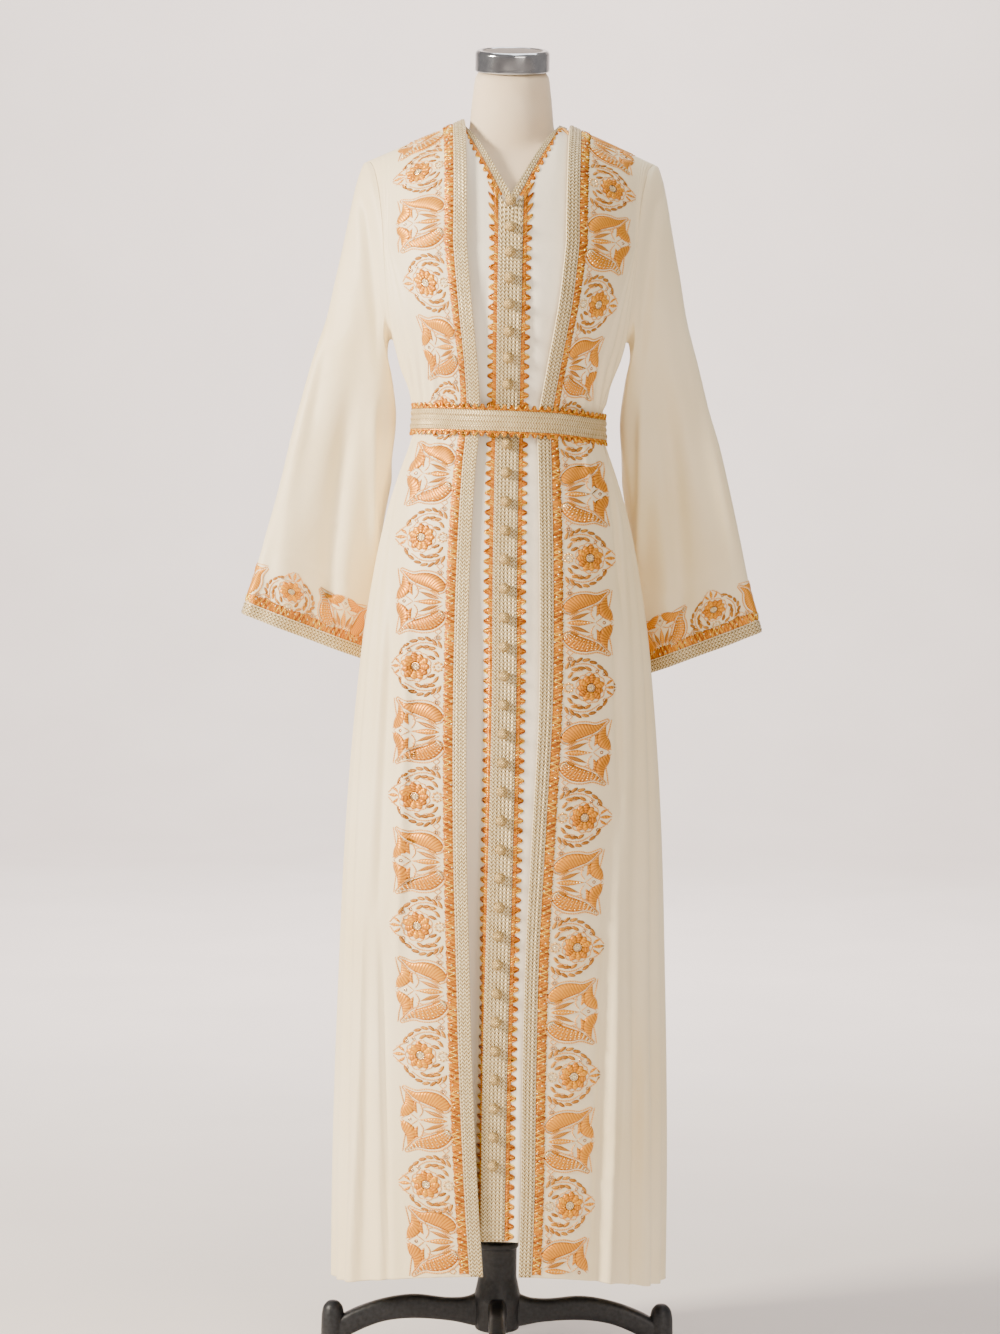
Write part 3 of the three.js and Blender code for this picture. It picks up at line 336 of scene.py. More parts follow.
@dataclass(frozen=True)
class Finish:
    """What a surface is made of. A kind of finish adds its pattern to the shader's plain values."""

    name: str
    rough: float = 0.5
    metal: float = 0.0

    def material(self) -> bpy.types.Material:
        """Returns the material, made on first use."""
        known = bpy.data.materials.get(self.name)
        if known:
            return known
        made = bpy.data.materials.new(self.name)
        made.use_nodes = True
        tree = made.node_tree
        tree.nodes.clear()
        shader = node(tree, "BsdfPrincipled", {"Roughness": self.rough, "Metallic": self.metal})
        node(tree, "OutputMaterial", {"Surface": shader.outputs[0]})
        self.pattern(tree, shader)
        return made

    def pattern(self, tree: Tree, shader: Node) -> None:
        """Links colour, roughness and relief to the surface shader."""

    @staticmethod
    def relief(tree: Tree, shader: Node, layers: list[tuple]) -> None:
        """Adds relief to the shader.

        Args:
            tree: the material's nodes.
            shader: the surface shader.
            layers: a height and how many mm it stands for, for each layer of relief.
        """
        last = None
        for height, deep in layers:
            under = {"Normal": last} if last else {}
            last = node(tree, "Bump", {"Height": height, "Distance": deep * MM, "Strength": 1.0, **under}).outputs[0]
        tree.links.new(last, shader.inputs["Normal"])

    @staticmethod
    def tint(tree: Tree, shader: Node, value: Socket, stops: list[tuple[float, int]]) -> None:
        """Gives the shader the colour that a value picks among a ramp's stops."""
        tree.links.new(node(tree, "ValToRGB", [value], stops=stops).outputs[0], shader.inputs["Base Color"])


@dataclass(frozen=True)
class Satin(Finish):
    """Heavy polyester satin, woven with long floats: a soft broad shine across the cloth, and no threads to be seen."""

    rough: float = 0.46
    light: int = 0xFDEFCC
    deep: int = 0xF6E3B6
    weft: float = 1.6  # the float lines, drawn coarse enough to show
    drawn: float = 14.0  # how many times longer than wide they are
    crumple: float = 60.0  # soft handling marks

    def pattern(self, tree: Tree, shader: Node) -> None:
        """Adds the cloud of tone, the float lines and the handling marks."""
        place = node(tree, "TexCoord").outputs["Object"]
        cloud = node(tree, "TexNoise", {"Vector": place, "Scale": per_metre(240), "Detail": 3.0}).outputs["Fac"]
        self.tint(tree, shader, cloud, [(0.3, self.deep), (0.7, self.light)])
        sheen = {"Sheen Weight": 0.25, "Sheen Roughness": 0.4, "Sheen Tint": srgb(0xFFF6E4), "Specular IOR Level": 0.4}
        for name, value in sheen.items():
            shader.inputs[name].default_value = value
        around = node(tree, "TexCoord").outputs["UV"]
        stretch = node(tree, "Mapping", {"Vector": around, "Scale": (1.0, self.drawn, 1.0)}).outputs[0]
        lines = {"Vector": stretch, "Scale": per_metre(self.weft * self.drawn), "Detail": 2.0}
        floats = node(tree, "TexNoise", lines).outputs["Fac"]
        handling = {"Vector": place, "Scale": per_metre(self.crumple), "Detail": 4.0, "Distortion": 0.6}
        marks = node(tree, "TexNoise", handling).outputs["Fac"]
        span = node(tree, "MapRange", {0: marks, 3: self.rough - 0.07, 4: self.rough + 0.09})
        tree.links.new(span.outputs[0], shader.inputs["Roughness"])
        self.relief(tree, shader, [(marks, 2.2), (floats, 0.05)])


@dataclass(frozen=True)
class Braid(Finish):
    """Flat braid of metallised thread: ridges that slant both ways, painted pale on their tops as highlight, and dark
    lines of painted shade between the plaits.
    """

    rough: float = 0.42
    metal: float = 0.3
    # light is the painted highlight on the ridges' tops, dark the painted shade in the grooves, middle between them.
    light: int = 0xF8EAC4
    middle: int = 0xC8AC70
    dark: int = 0x5E431C
    plait: float = 5.2  # one plait's width
    stitch: float = 4.8  # from thread to thread along the plait, drawn coarse
    slant: float = 1.6  # how steeply the threads slant

    def pattern(self, tree: Tree, shader: Node) -> None:
        """Adds the slanting threads: their phase is along/stitch + slant·(the triangle wave of across/plait)."""
        where = node(tree, "SeparateXYZ", [node(tree, "TexCoord").outputs["UV"]])
        across = ridges(tree, where.outputs[0], self.plait)
        along = node(tree, "Math", [where.outputs[1], per_metre(self.stitch)], operation="MULTIPLY").outputs[0]
        phase = node(tree, "Math", [across, self.slant, along], operation="MULTIPLY_ADD").outputs[0]
        thread = node(tree, "Math", [phase, 0.5], operation="PINGPONG").outputs[0]
        gap = node(tree, "Math", [0.5, across], operation="SUBTRACT").outputs[0]
        line = node(tree, "MapRange", {0: gap, 1: 0.0, 2: 0.18, 3: 0.0, 4: 0.25}).outputs[0]
        height = node(tree, "Math", [thread, 1.6, line], operation="MULTIPLY_ADD").outputs[0]
        # The height picks the colour: painted shade in the grooves between threads and plaits, painted highlight on the
        # ridges.
        colour = node(tree, "ValToRGB", [height], stops=[(0.22, self.dark), (0.5, self.middle), (0.85, self.light)])
        place = node(tree, "TexCoord").outputs["Object"]
        spots = node(tree, "TexNoise", {"Vector": place, "Scale": per_metre(9), "Detail": 2.0}).outputs["Fac"]
        shade = node(tree, "ValToRGB", [spots], stops=[(0.25, 0xDCD3BC), (0.75, 0xFFFFFF)])
        layers = {0: 0.6, 6: colour.outputs[0], 7: shade.outputs[0]}
        # The painted shade and highlight, dimmed by random spots taken as wear.
        worn = node(tree, "Mix", layers, data_type="RGBA", blend_type="MULTIPLY")
        tree.links.new(worn.outputs[2], shader.inputs["Base Color"])
        self.relief(tree, shader, [(height, 0.7)])


@dataclass(frozen=True)
class Thread(Finish):
    """Satin stitch in rayon thread: rows of fine parallel stitches that shine along their length, the shine partly
    painted as lighter tops of the rows, with painted shade in the hollows between them.
    """

    rough: float = 0.4
    metal: float = 0.35
    # light is reached on the rows' tops as painted sheen, dark in the hollows between them as painted shade, shifted by
    # each shape's own tone.
    light: int = 0xF2AE2C
    middle: int = 0xDC8808
    dark: int = 0x8E4A02
    stitch: float = 3.6  # from row to row, drawn coarse

    def pattern(self, tree: Tree, shader: Node) -> None:
        """Adds the stitches across each shape, as relief and as painted sheen and shade in the colour, and each shape's
        own tone.
        """
        where = node(tree, "SeparateXYZ", [node(tree, "TexCoord").outputs["UV"]])
        slant = node(tree, "Math", [where.outputs[1], 0.35, where.outputs[0]], operation="MULTIPLY_ADD").outputs[0]
        row = ridges(tree, slant, self.stitch)
        tone = node(tree, "Attribute", attribute_name="tone").outputs["Fac"]
        level = node(tree, "Math", [tone, 0.6, row], operation="MULTIPLY_ADD").outputs[0]
        # The stitch rows' wave lightens their tops as painted sheen and darkens the hollows as painted shade.
        self.tint(tree, shader, level, [(0.1, self.dark), (0.5, self.middle), (0.92, self.light)])
        self.relief(tree, shader, [(row, 0.6)])


@dataclass(frozen=True)
class GoldStroke(Finish):
    """Gilt bugle beads and thread laid side by side: small bright glints on orange gold, painted as pale gold on the
    facets' tops and on strokes of high tone.
    """

    rough: float = 0.25
    metal: float = 0.4
    # light is the painted glint, taken by the facets' tops and by high tones; the tones also mix gilt and orange
    # strokes.
    light: int = 0xFFD850
    middle: int = 0xE08C10
    dark: int = 0x9A4A02
    facet: float = 2.4  # from one cut facet to the next

    def pattern(self, tree: Tree, shader: Node) -> None:
        """Adds each stroke's own tone, whose high end is a painted glint, and cut facets along it, as relief and as
        painted highlight on their tops.
        """
        tone = node(tree, "Attribute", attribute_name="tone").outputs["Fac"]
        where = node(tree, "SeparateXYZ", [node(tree, "TexCoord").outputs["UV"]])
        cut = ridges(tree, where.outputs[0], self.facet)
        level = node(tree, "Math", [cut, 0.25, tone], operation="MULTIPLY_ADD").outputs[0]
        # Facet tops and high tones are lightened towards pale gold: painted glints.
        self.tint(tree, shader, level, [(0.15, self.dark), (0.55, self.middle), (1.0, self.light)])
        self.relief(tree, shader, [(cut, 0.35)])


@dataclass(frozen=True)
class Jersey(Finish):
    """Cotton knit stretched over foam: matt, with close columns of tiny loops."""

    rough: float = 0.86
    light: int = 0xF2E0C4
    deep: int = 0xE2CBA8
    loop: float = 2.2  # the loops, drawn coarse enough to show

    def pattern(self, tree: Tree, shader: Node) -> None:
        """Adds loops in columns and a faint cloud of tone."""
        place = node(tree, "TexCoord").outputs["Object"]
        cloud = node(tree, "TexNoise", {"Vector": place, "Scale": per_metre(120), "Detail": 3.0}).outputs["Fac"]
        self.tint(tree, shader, cloud, [(0.3, self.deep), (0.7, self.light)])
        shader.inputs["Sheen Weight"].default_value = 0.3
        where = node(tree, "SeparateXYZ", [place])
        loops = []
        for k in (0, 2):
            turn = node(tree, "Math", [where.outputs[k], per_metre(self.loop) * math.tau], operation="MULTIPLY")
            loops.append(node(tree, "Math", [turn.outputs[0]], operation="SINE").outputs[0])
        self.relief(tree, shader, [(node(tree, "Math", loops, operation="MULTIPLY").outputs[0], 0.12)])


@dataclass(frozen=True)
class Metal(Finish):
    """Turned or cast metal: plating shows the room, bare steel is streaked, and painted iron is grainy."""

    rough: float = 0.12
    metal: float = 1.0
    light: int = 0xC9CCD0
    deep: int = 0xA9ACB2
    grain: float = 14.0
    grain_deep: float = 0.02
    stretch: tuple[float, float, float] = (1.0, 1.0, 1.0)

    def pattern(self, tree: Tree, shader: Node) -> None:
        """Adds streaks or grain to the colour, the roughness and the relief."""
        place = node(tree, "TexCoord").outputs["Object"]
        drawn = node(tree, "Mapping", {"Vector": place, "Scale": self.stretch}).outputs[0]
        spots = {"Vector": drawn, "Scale": per_metre(self.grain), "Detail": 5.0}
        grain = node(tree, "TexNoise", spots).outputs["Fac"]
        self.tint(tree, shader, grain, [(0.25, self.deep), (0.75, self.light)])
        span = node(tree, "MapRange", {0: grain, 3: self.rough * 0.8, 4: self.rough * 1.3})
        tree.links.new(span.outputs[0], shader.inputs["Roughness"])
        self.relief(tree, shader, [(grain, self.grain_deep)])


ROBE_SATIN = Satin("ivory satin")
INNER_SATIN = Satin("white satin of the inner dress", light=0xFBF3E2, deep=0xF4E9D2)
# In the braids and the cord, dark is painted groove shade and light is painted ridge highlight.
FLAT_BRAID = Braid("champagne flat braid")
BELT_BRAID = Braid("belt braid", plait=7.0, stitch=3.4, light=0xEEDDB2, middle=0xCFB47C, dark=0x7E6238)
BUTTON_CORD = Braid("knotted button cord", plait=3.8, stitch=3.4, light=0xE8CF96, middle=0xBE9C5C, dark=0x6E5024)
# In the thread finishes, light is painted sheen on the stitch rows and dark is painted shade between them.
ORANGE_THREAD = Thread("orange satin stitch")
PEACH_CORD = Thread("peach couched cord", light=0xFCD088, middle=0xEDA850, dark=0xB8701E, stitch=3.0)
BRONZE_THREAD = Thread("bronze leaf stitch", light=0xE6A840, middle=0xC27C1C, dark=0x7E4C0A, stitch=1.9)
# In the gilt, glass and sequin finishes, light is painted glint on facet tops and on high tones.
GILT = GoldStroke("gilt bugle beads")
GLASS = GoldStroke("gold glass beads", rough=0.16, metal=0.3, light=0xFFF0C0, middle=0xF6B95C, dark=0xD98A34)
SEQUIN = GoldStroke("bronze sequins", rough=0.2, metal=0.85, light=0xF4DDB4, middle=0xB0753C, dark=0x7A4A26)
JERSEY = Jersey("cream jersey")
CHROME = Metal("chrome plate")
CAP_TOP = Metal("dull cap top", rough=0.45, light=0x9A8F86, deep=0x7D736B)
STEEL = Metal("worn steel tube", rough=0.34, light=0x9A917C, deep=0x6F6857, stretch=(1.0, 1.0, 0.12))
IRON = Metal("black painted cast iron", 0.42, 0.35, light=0x2B2D31, deep=0x17181B, grain=5.0, grain_deep=0.35)
FLOOR_PAINT = Metal("pale painted floor", 0.7, 0.0, light=0xEDE7E4, deep=0xE6E0DD, grain=400)


# ---- the figure
class Layer(Enum):
    """How deep a layer lies under the robe's outer face, on the body and at the shoulder seam."""

    ROBE = (0.0, 0.0)
    INNER = (8.5, 6.8)
    FORM = (14.5, 22.0)


class Side(Enum):
    """A side of the dress as seen from the front. The value is the sign of x."""

    LEFT = -1
    RIGHT = 1

    @property
    def word(self) -> str:
        """The side in words."""
        return self.name.lower()


@dataclass(frozen=True)
class Figure:
    """The dressed figure's outer surface: level rings up to the chest, and quarter ellipses over the shoulders."""

    roundness: float = 0.87
    chest: float = 1470
    underarm: float = 1345
    waist: float = 1246
    seam_y: float = 12
    seam_gap: float = 0.3
    neck_top: float = 1637
    neck_half: float = 62
    slope: float = 0.44
    half: float = 190
    ring_table: Table = Table(
        "z wide front back",
        [
            (120, 214, 156, 164), (300, 214, 155, 162), (500, 210, 152, 158), (750, 201, 147, 152),
            (950, 185, 139, 146), (1060, 169, 129, 138), (1130, 154, 118, 126), (1180, 139, 108, 114),
            (1223, 124, 100, 103), (1246, 120, 98, 100), (1270, 122, 100, 101), (1305, 133, 111, 106),
            (1345, 147, 123, 110), (1385, 157, 131, 112), (1430, 164, 128, 113), (1470, 168, 120, 112),
        ],
    )
    armhole: Table = Table("z angle", [(1345, 90), (1385, 80), (1430, 76), (1470, 74)])

    def ring(self, angle: Array, z: Array, inset: Values) -> Array:
        """Returns points of a level ring: x = (w - i)·|sin a|^0.87, y = -(d - i)·|cos a|^0.87, each with its sign.

        Args:
            angle: 0 at the front middle, π/2 at +x and π at the back middle.
            z: heights.
            inset: how far inside the robe's face.
        """
        angle, z, inset = np.broadcast_arrays(angle, z, inset)
        deep = np.where(np.cos(angle) > 0, self.ring_table.read("front", z), self.ring_table.read("back", z))
        x = (self.ring_table.read("wide", z) - inset) * power(np.sin(angle), self.roundness)
        y = -(deep - inset) * power(np.cos(angle), self.roundness)
        return joined(x, y, z.astype(float))

    def angle_of(self, x: Array, z: Array) -> Array:
        """Returns the angle at which the ring at height z stands x to the side."""
        share = np.clip(np.abs(x) / self.ring_table.read("wide", z), 0, 1)
        return np.sign(x) * np.arcsin(share ** (1 / self.roundness))

    def seam_angle(self, x: Array) -> Array:
        """Returns the angle at which the surface meets the shoulder seam x to the side."""
        return np.sign(x) * np.arcsin(np.clip(np.abs(x) / self.half, 0, 1) ** (1 / self.roundness))

    def seam_height(self, x: Array) -> Array:
        """Returns the shoulder seam's height x to the side."""
        return self.neck_top - np.maximum(0, np.abs(x) - self.neck_half) * self.slope

    def arm_angle(self, z: Array) -> Array:
        """Returns the angle of the side seam, and of the armhole above it."""
        return np.where(z <= self.underarm, math.pi / 2, np.radians(self.armhole.read("angle", z)))

    def side_gap(self, z: Array, above: float = 0.0) -> Array:
        """Returns the angle of half the side seam's gap, and of the length `above` over the underarm."""
        return np.where(z > self.underarm, above, self.seam_gap / 2) / self.ring_table.read("wide", z)

    def surface(
        self, layer: Layer, z: Array, over: Array, angle: Array, seam_x: Array, fold: Array
    ) -> Array:
        """Returns points of a layer.

        Up to the chest they lie on the ring. Above it, at the share o of the way over the shoulder, they lie on
        x = chest.x + (top - chest.x)·o^1.5, y = seam.y + (chest.y - seam.y)·cos(oπ/2) and
        z = 1470 + (seam.z - 1470)·sin(oπ/2), on a ring turned towards where the seam is met.

        Args:
            layer: which layer.
            z: heights, at most the chest's.
            over: shares of the way over the shoulder, 0 below the chest.
            angle: angles on the ring.
            seam_x: where each column meets the shoulder seam.
            fold: how far folds stand out.
        """
        z, over, angle, seam_x, fold = np.broadcast_arrays(z, over, angle, seam_x, fold)
        body, seam = layer.value
        inset = mix(body, seam, over) - fold * (1 - over)
        back = np.cos(angle) < -1e-9
        end = np.where(back, math.pi - self.seam_angle(seam_x), self.seam_angle(seam_x))
        bearing = mix(angle, end, over)
        points = self.ring(bearing, z, inset)
        top = (self.half - inset) * power(np.sin(bearing), self.roundness)
        seam_y = self.seam_y + np.where(back, 0.5, -0.5) * self.seam_gap
        quarter = over * math.pi / 2
        x, y = mix(points[..., 0], top, over**1.5), mix(seam_y, points[..., 1], np.cos(quarter))
        lifted = joined(x, y, mix(self.chest, self.seam_height(top) - inset, np.sin(quarter)))
        return np.where(over[..., None] > 0, lifted, points)


FIGURE = Figure()


@dataclass(frozen=True)
class Rows:
    """The rows of a panel from its hem to the chest and over the shoulder."""

    hem: tuple[float, float, float]  # its height at the front, the side and the back
    step: float = 8.0
    over_steps: int = 26
    hem_top: float = 240.0

    def heights(self) -> tuple[Array, Array, Array]:
        """Returns, as columns, the share of the way up the hem's rows, the heights above them and the way over."""
        low = np.concatenate([[0, 0.02, 0.045], np.linspace(0.09, 1, 13)])
        high = np.arange(self.hem_top, FIGURE.chest, self.step)[1:]
        high = np.append(high[high < FIGURE.chest - self.step / 2], FIGURE.chest)
        over = np.linspace(0, 1, self.over_steps + 1)[1:]
        share = np.concatenate([low, np.ones(len(high) + len(over))])
        z = np.concatenate([np.full(len(low), self.hem_top), high, np.full(len(over), FIGURE.chest)])
        way = np.concatenate([np.zeros(len(low) + len(high)), over])
        return share[:, None], z[:, None], way[:, None]

    def level(self, share: Array, z: Array, angle: Array) -> Array:
        """Returns the rows' real heights: the hem rises from the front or back to the side as sin²(angle)."""
        front, side, back = self.hem
        hem = mix(np.where(np.cos(angle) > 0, front, back), side, np.sin(angle) ** 2)
        return np.where(share < 1, mix(hem, self.hem_top, share), z)


class Face(Enum):
    """The face of the dress that a crease lies on. The value is the sign of y."""

    FRONT = -1
    BACK = 1


@dataclass(frozen=True)
class Crease:
    """A soft ridge or trough drawn on the cloth as it hangs: depth·exp(-(distance/width)²), faded at its ends."""

    start: Span  # x and z
    end: Span
    depth: float  # above 0 a ridge, below it a trough
    width: Span  # towards -x and towards +x
    bend: float = 0.0  # how far the middle of the line bows towards +x
    fade: Span = (0.3, 0.3)
    face: Face = Face.FRONT

    def raised(self, points: Array, normals: Array) -> Array:
        """Returns how far out the crease moves each point.

        Args:
            points: (..., 3) points of the cloth.
            normals: their outward directions.
        """
        start, run = np.array(self.start), np.subtract(self.end, self.start)
        side = np.array([run[1], -run[0]]) / np.linalg.norm(run)
        side = side if side[0] > 0 else -side
        flat = points[..., [0, 2]] - start
        along = flat @ run / (run @ run)
        off = flat @ side - self.bend * 4 * along * (1 - along)
        profile = np.exp(-((off / np.where(off < 0, self.width[0], self.width[1])) ** 2))
        for share, fade in ((along, self.fade[0]), (1 - along, self.fade[1])):
            profile = profile * (smooth(0, fade, share) if fade else 1)
        return self.depth * profile * smooth(-0.2, 0.3, normals[..., 1] * self.face.value)


def mirrored(creases: list[Crease], face: Face, stretch: float = 1.0) -> list[Crease]:
    """Returns creases for a hidden face, a little unlike the seen ones, their depths multiplied by stretch."""
    shift = lambda at, k: (at[0] * 0.93 + 4 * math.sin(5.1 * k), at[1] + 11 * math.cos(3.7 * k))
    return [
        Crease(shift(c.start, k), shift(c.end, k + 0.4), c.depth * stretch, c.width, -c.bend, c.fade, face)
        for k, c in enumerate(creases)
    ]


class Cloth:
    """A panel of cloth as a fine grid of points, on which trimmings can be laid."""

    def __init__(self, points: Array, ring: bool = False, creases: list[Crease] | None = None) -> None:
        """Keeps the grid and adds the creases to it.

        Args:
            points: (K, J, 3) points.
            ring: whether the last column joins the first.
            creases: soft ridges and troughs.
        """
        self.ring = ring
        self.points = points
        self.normals = self.directions()
        if creases:
            raised = sum(crease.raised(points, self.normals) for crease in creases)
            self.points = points + self.normals * raised[..., None]
            self.normals = self.directions()

    def directions(self) -> Array:
        """Returns the outward normals, from the differences along rows and columns."""
        up = np.gradient(self.points, axis=0)
        if self.ring:
            along = np.roll(self.points, -1, axis=1) - np.roll(self.points, 1, axis=1)
        else:
            along = np.gradient(self.points, axis=1)
        normals = np.cross(along, up)
        normals /= np.maximum(np.linalg.norm(normals, axis=-1, keepdims=True), 1e-9)
        middle = self.points.mean(axis=1, keepdims=True) if self.ring else np.array([0.0, 0.0, 1.0]) * self.points
        away = ((self.points - middle) * normals)[..., :2].sum()
        return -normals if away < 0 else normals

    def at(self, row: Array, column: Array) -> Laid:
        """Returns the points and normals at fractional rows and columns.

        Args:
            row: rows, kept within the grid.
            column: columns, taken round the ring or kept within the grid.
        """
        rows, columns = self.points.shape[:2]
        r = np.clip(np.floor(row).astype(int), 0, rows - 2)
        c = np.floor(column).astype(int) if self.ring else np.clip(np.floor(column).astype(int), 0, columns - 2)
        s, t = (row - r)[..., None], (column - c)[..., None]
        here, following = c % columns, (c + 1) % columns
        pick = lambda grid: mix(
            mix(grid[r, here], grid[r, following], t), mix(grid[r + 1, here], grid[r + 1, following], t), s
        )
        normal = pick(self.normals)
        return pick(self.points), normal / np.linalg.norm(normal, axis=-1, keepdims=True)

    def piece(self, name: str, wall: float) -> Piece:
        """Makes the panel with its wall.

        Args:
            name: the piece's name.
            wall: the cloth's thickness.
        """
        grid = np.concatenate([self.points, self.points[:, :1]], 1) if self.ring else self.points
        down = lengths(grid)
        across = lengths(np.swapaxes(grid, 0, 1)).T
        across = across - across[:, across.shape[1] // 2][:, None]
        net = Net()
        uv = joined(across, down[:, down.shape[1] // 2][:, None] + 0 * across)
        net.add(self.points[None], uv[None], 0.5, self.normals[None], self.ring, closed=False)
        return thicken(net.build(name), wall)


# ---- laying trimmings on cloth
class Lay:
    """Carries flat shapes onto a surface: x across it, y along it and a lift off it."""

    def place(self, flat: Array) -> Laid:
        """Returns the points and their outward directions.

        Args:
            flat: (..., 3) values of x, y and lift.
        """
        raise NotImplementedError


class ColumnLay(Lay):
    """Lays along a panel's columns: x picks the column, and y is a length up one of them."""

    def __init__(self, cloth: Cloth, across: Array, guide: float) -> None:
        """Measures the panel.

        Args:
            cloth: the panel.
            across: x of each column.
            guide: x of the column that lengths are measured up.
        """
        self.cloth = cloth
        self.across = across
        self.columns = np.arange(len(across))
        rows = np.arange(len(cloth.points))
        points, _ = cloth.at(rows, np.full(len(rows), np.interp(guide, across, self.columns)))
        self.length = lengths(points)
        self.height = points[:, 2]

    def place(self, flat: Array) -> Laid:
        """Returns the points and their outward directions."""
        row = np.interp(flat[..., 1], self.length, np.arange(len(self.length)))
        point, normal = self.cloth.at(row, np.interp(flat[..., 0], self.across, self.columns))
        return point + normal * flat[..., 2:], normal

    def length_at(self, z: Values) -> Array:
        """Returns the length up the guide at a height."""
        return np.interp(z, self.height, self.length)


class EdgeLay(Lay):
    """Lays along a panel's last row: y is a length along it, and x the way in from it."""

    def __init__(self, cloth: Cloth, start: float, depth: int = 60, stride: float = 1.0) -> None:
        """Measures the panel near its edge.

        Args:
            cloth: the panel.
            start: the column where lengths start. They are negative before it.
            depth: how many rows are measured.
            stride: 1 where lengths grow with the columns, -1 where they grow against them.
        """
        self.cloth, self.stride = cloth, stride
        edge = cloth.points[::-1][:depth]
        edge = np.concatenate([edge, edge[:, :1]], 1) if cloth.ring else edge
        self.deep = lengths(edge)
        run = lengths(edge[0])
        self.whole = run[-1]
        self.run = run - np.interp(start, np.arange(len(run)), run)

    def place(self, flat: Array) -> Laid:
        """Returns the points and their outward directions."""
        run = flat[..., 1] * self.stride
        if self.cloth.ring:
            run = self.run[0] + (run - self.run[0]) % self.whole
        column = np.interp(run, self.run, np.arange(len(self.run)))
        c = np.clip(np.floor(column).astype(int), 0, len(self.run) - 2)
        deep = mix(self.deep[:, c], self.deep[:, c + 1], column - c)
        x = flat[..., 0]
        r = np.clip((deep < x[None]).sum(axis=0) - 1, 0, len(deep) - 2)
        low = np.take_along_axis(deep, r[None], 0)[0]
        high = np.take_along_axis(deep, r[None] + 1, 0)[0]
        row = len(self.cloth.points) - 1 - (r + (x - low) / (high - low))
        point, normal = self.cloth.at(row, column)
        return point + normal * flat[..., 2:], normal


class SlantLay(Lay):
    """Lays beside an edge that slants across the columns, where the way down a column is longer than x."""

    def __init__(self, edge: EdgeLay, slant: float, lean: float = 0.0) -> None:
        """Keeps the edge, how much longer a column is than x, and how far along the edge each mm of x moves."""
        self.edge, self.slant, self.lean = edge, slant, lean

    def place(self, flat: Array) -> Laid:
        """Returns the points and their outward directions."""
        moved = flat * [self.slant, 1, 1]
        moved[..., 1] += self.lean * flat[..., 0]
        return self.edge.place(moved)


@dataclass
class Flat:
    """Small shapes before they are laid: (N, K, J, 3) values of x, y and lift, their UVs and their tones."""

    points: Array
    uv: Array
    tone: Array
    closed: bool = True

    def spread(self, along: Array, squeeze: float = 1.0) -> "Flat":
        """Returns the shapes repeated.

        Args:
            along: how far along each repeat lies.
            squeeze: what x is multiplied by.
        """
        many = np.repeat(self.points[None], len(along), axis=0)
        many[..., 0] *= squeeze
        many[..., 1] += np.asarray(along)[:, None, None, None]
        wobble = 0.12 * np.sin(7.3 * np.arange(len(along)))[:, None]
        shape = (-1, *self.points.shape[1:])
        uv = np.tile(self.uv, (len(along), 1, 1, 1))
        return Flat(many.reshape(shape), uv, (self.tone[None] + wobble).ravel(), self.closed)


def cushions(
    spines: Array, half: Array, high: float, across: int = 4, tone: Values = 0.5
) -> Flat:
    """Low cushions along flat curves: spine + side·half·t, raised by high·√((1 - t²)·half/widest), |t| up to 1.

    Args:
        spines: (N, K, 2) points.
        half: (K,) or (N, K) half widths.
        high: height of the middle.
        across: cells across a cushion.
        tone: for all or for each.

    Returns:
        The shapes, their rims a little under the cloth's face.
    """
    run = np.gradient(spines, axis=1)
    side = joined(-run[..., 1], run[..., 0])
    side /= np.maximum(np.linalg.norm(side, axis=-1, keepdims=True), 1e-9)
    half = np.broadcast_to(half, spines.shape[:2])[..., None]
    t = np.linspace(-1, 1, across + 1)
    flat = spines[:, :, None] + side[:, :, None] * (half * t)[..., None]
    rise = np.sqrt(np.clip((1 - t**2) * half / half.max(axis=1, keepdims=True), 0, None))
    points = np.concatenate([flat, (high * rise - 0.25)[..., None]], axis=-1)
    along = np.swapaxes(lengths(np.swapaxes(spines, 0, 1)), 0, 1)[..., None]
    uv = joined(along + 0 * t, half * t)
    return Flat(points, uv, np.broadcast_to(tone, (len(spines),)).astype(float))


def strokes(starts: Array, ends: Array, half: float, high: float, tone: Values = 0.5) -> Flat:
    """Short straight stitches or beads.

    Args:
        starts: (N, 2) points.
        ends: (N, 2) points.
        half: half their width.
        high: how high they stand.
        tone: for all or for each.
    """
    share = np.linspace(0, 1, 5)[None, :, None]
    spines = mix(np.asarray(starts, float)[:, None], np.asarray(ends, float)[:, None], share)
    width = half * np.array([0.35, 0.95, 1.0, 0.95, 0.35])
    return cushions(spines, width, high, 2, tone)


def dots(places: Array, radius: float, high: float, tone: Values = 0.5) -> Flat:
    """Small round beads.

    Args:
        places: (N, 2) points.
        radius: their radius.
        high: how high they stand.
        tone: for all or for each.
    """
    share = np.array([-1, -0.75, 0, 0.75, 1.0])
    spines = np.asarray(places, float)[:, None] + radius * joined(share, 0 * share)
    return cushions(spines, radius * np.sqrt(np.clip(1.04 - share**2, 0, None)), high, 2, tone)


def leaf(points: Line, half: list[float], high: float, tone: float, steps: int = 9) -> Flat:
    """One leaf whose middle line and half widths are smooth curves through a few values, and whose start is round.

    Args:
        points: places on the middle line.
        half: the half width at each.
        high: how high it stands.
        tone: its tone.
        steps: points along it.
    """
    known = np.linspace(0, 1, len(points))
    rows = [(k, *p, h) for k, p, h in zip(known, points, half)]
    table = Table("share x y half", rows)
    share = (1 - np.cos(np.linspace(0, 1, steps) * math.pi)) / 2
    spine = joined(table.read("x", share), table.read("y", share))
    round_end = np.sqrt(np.clip(share / 0.08, 0, 1))
    return cushions(spine[None], np.maximum(table.read("half", share) * round_end, 0.12), high, 5, tone)


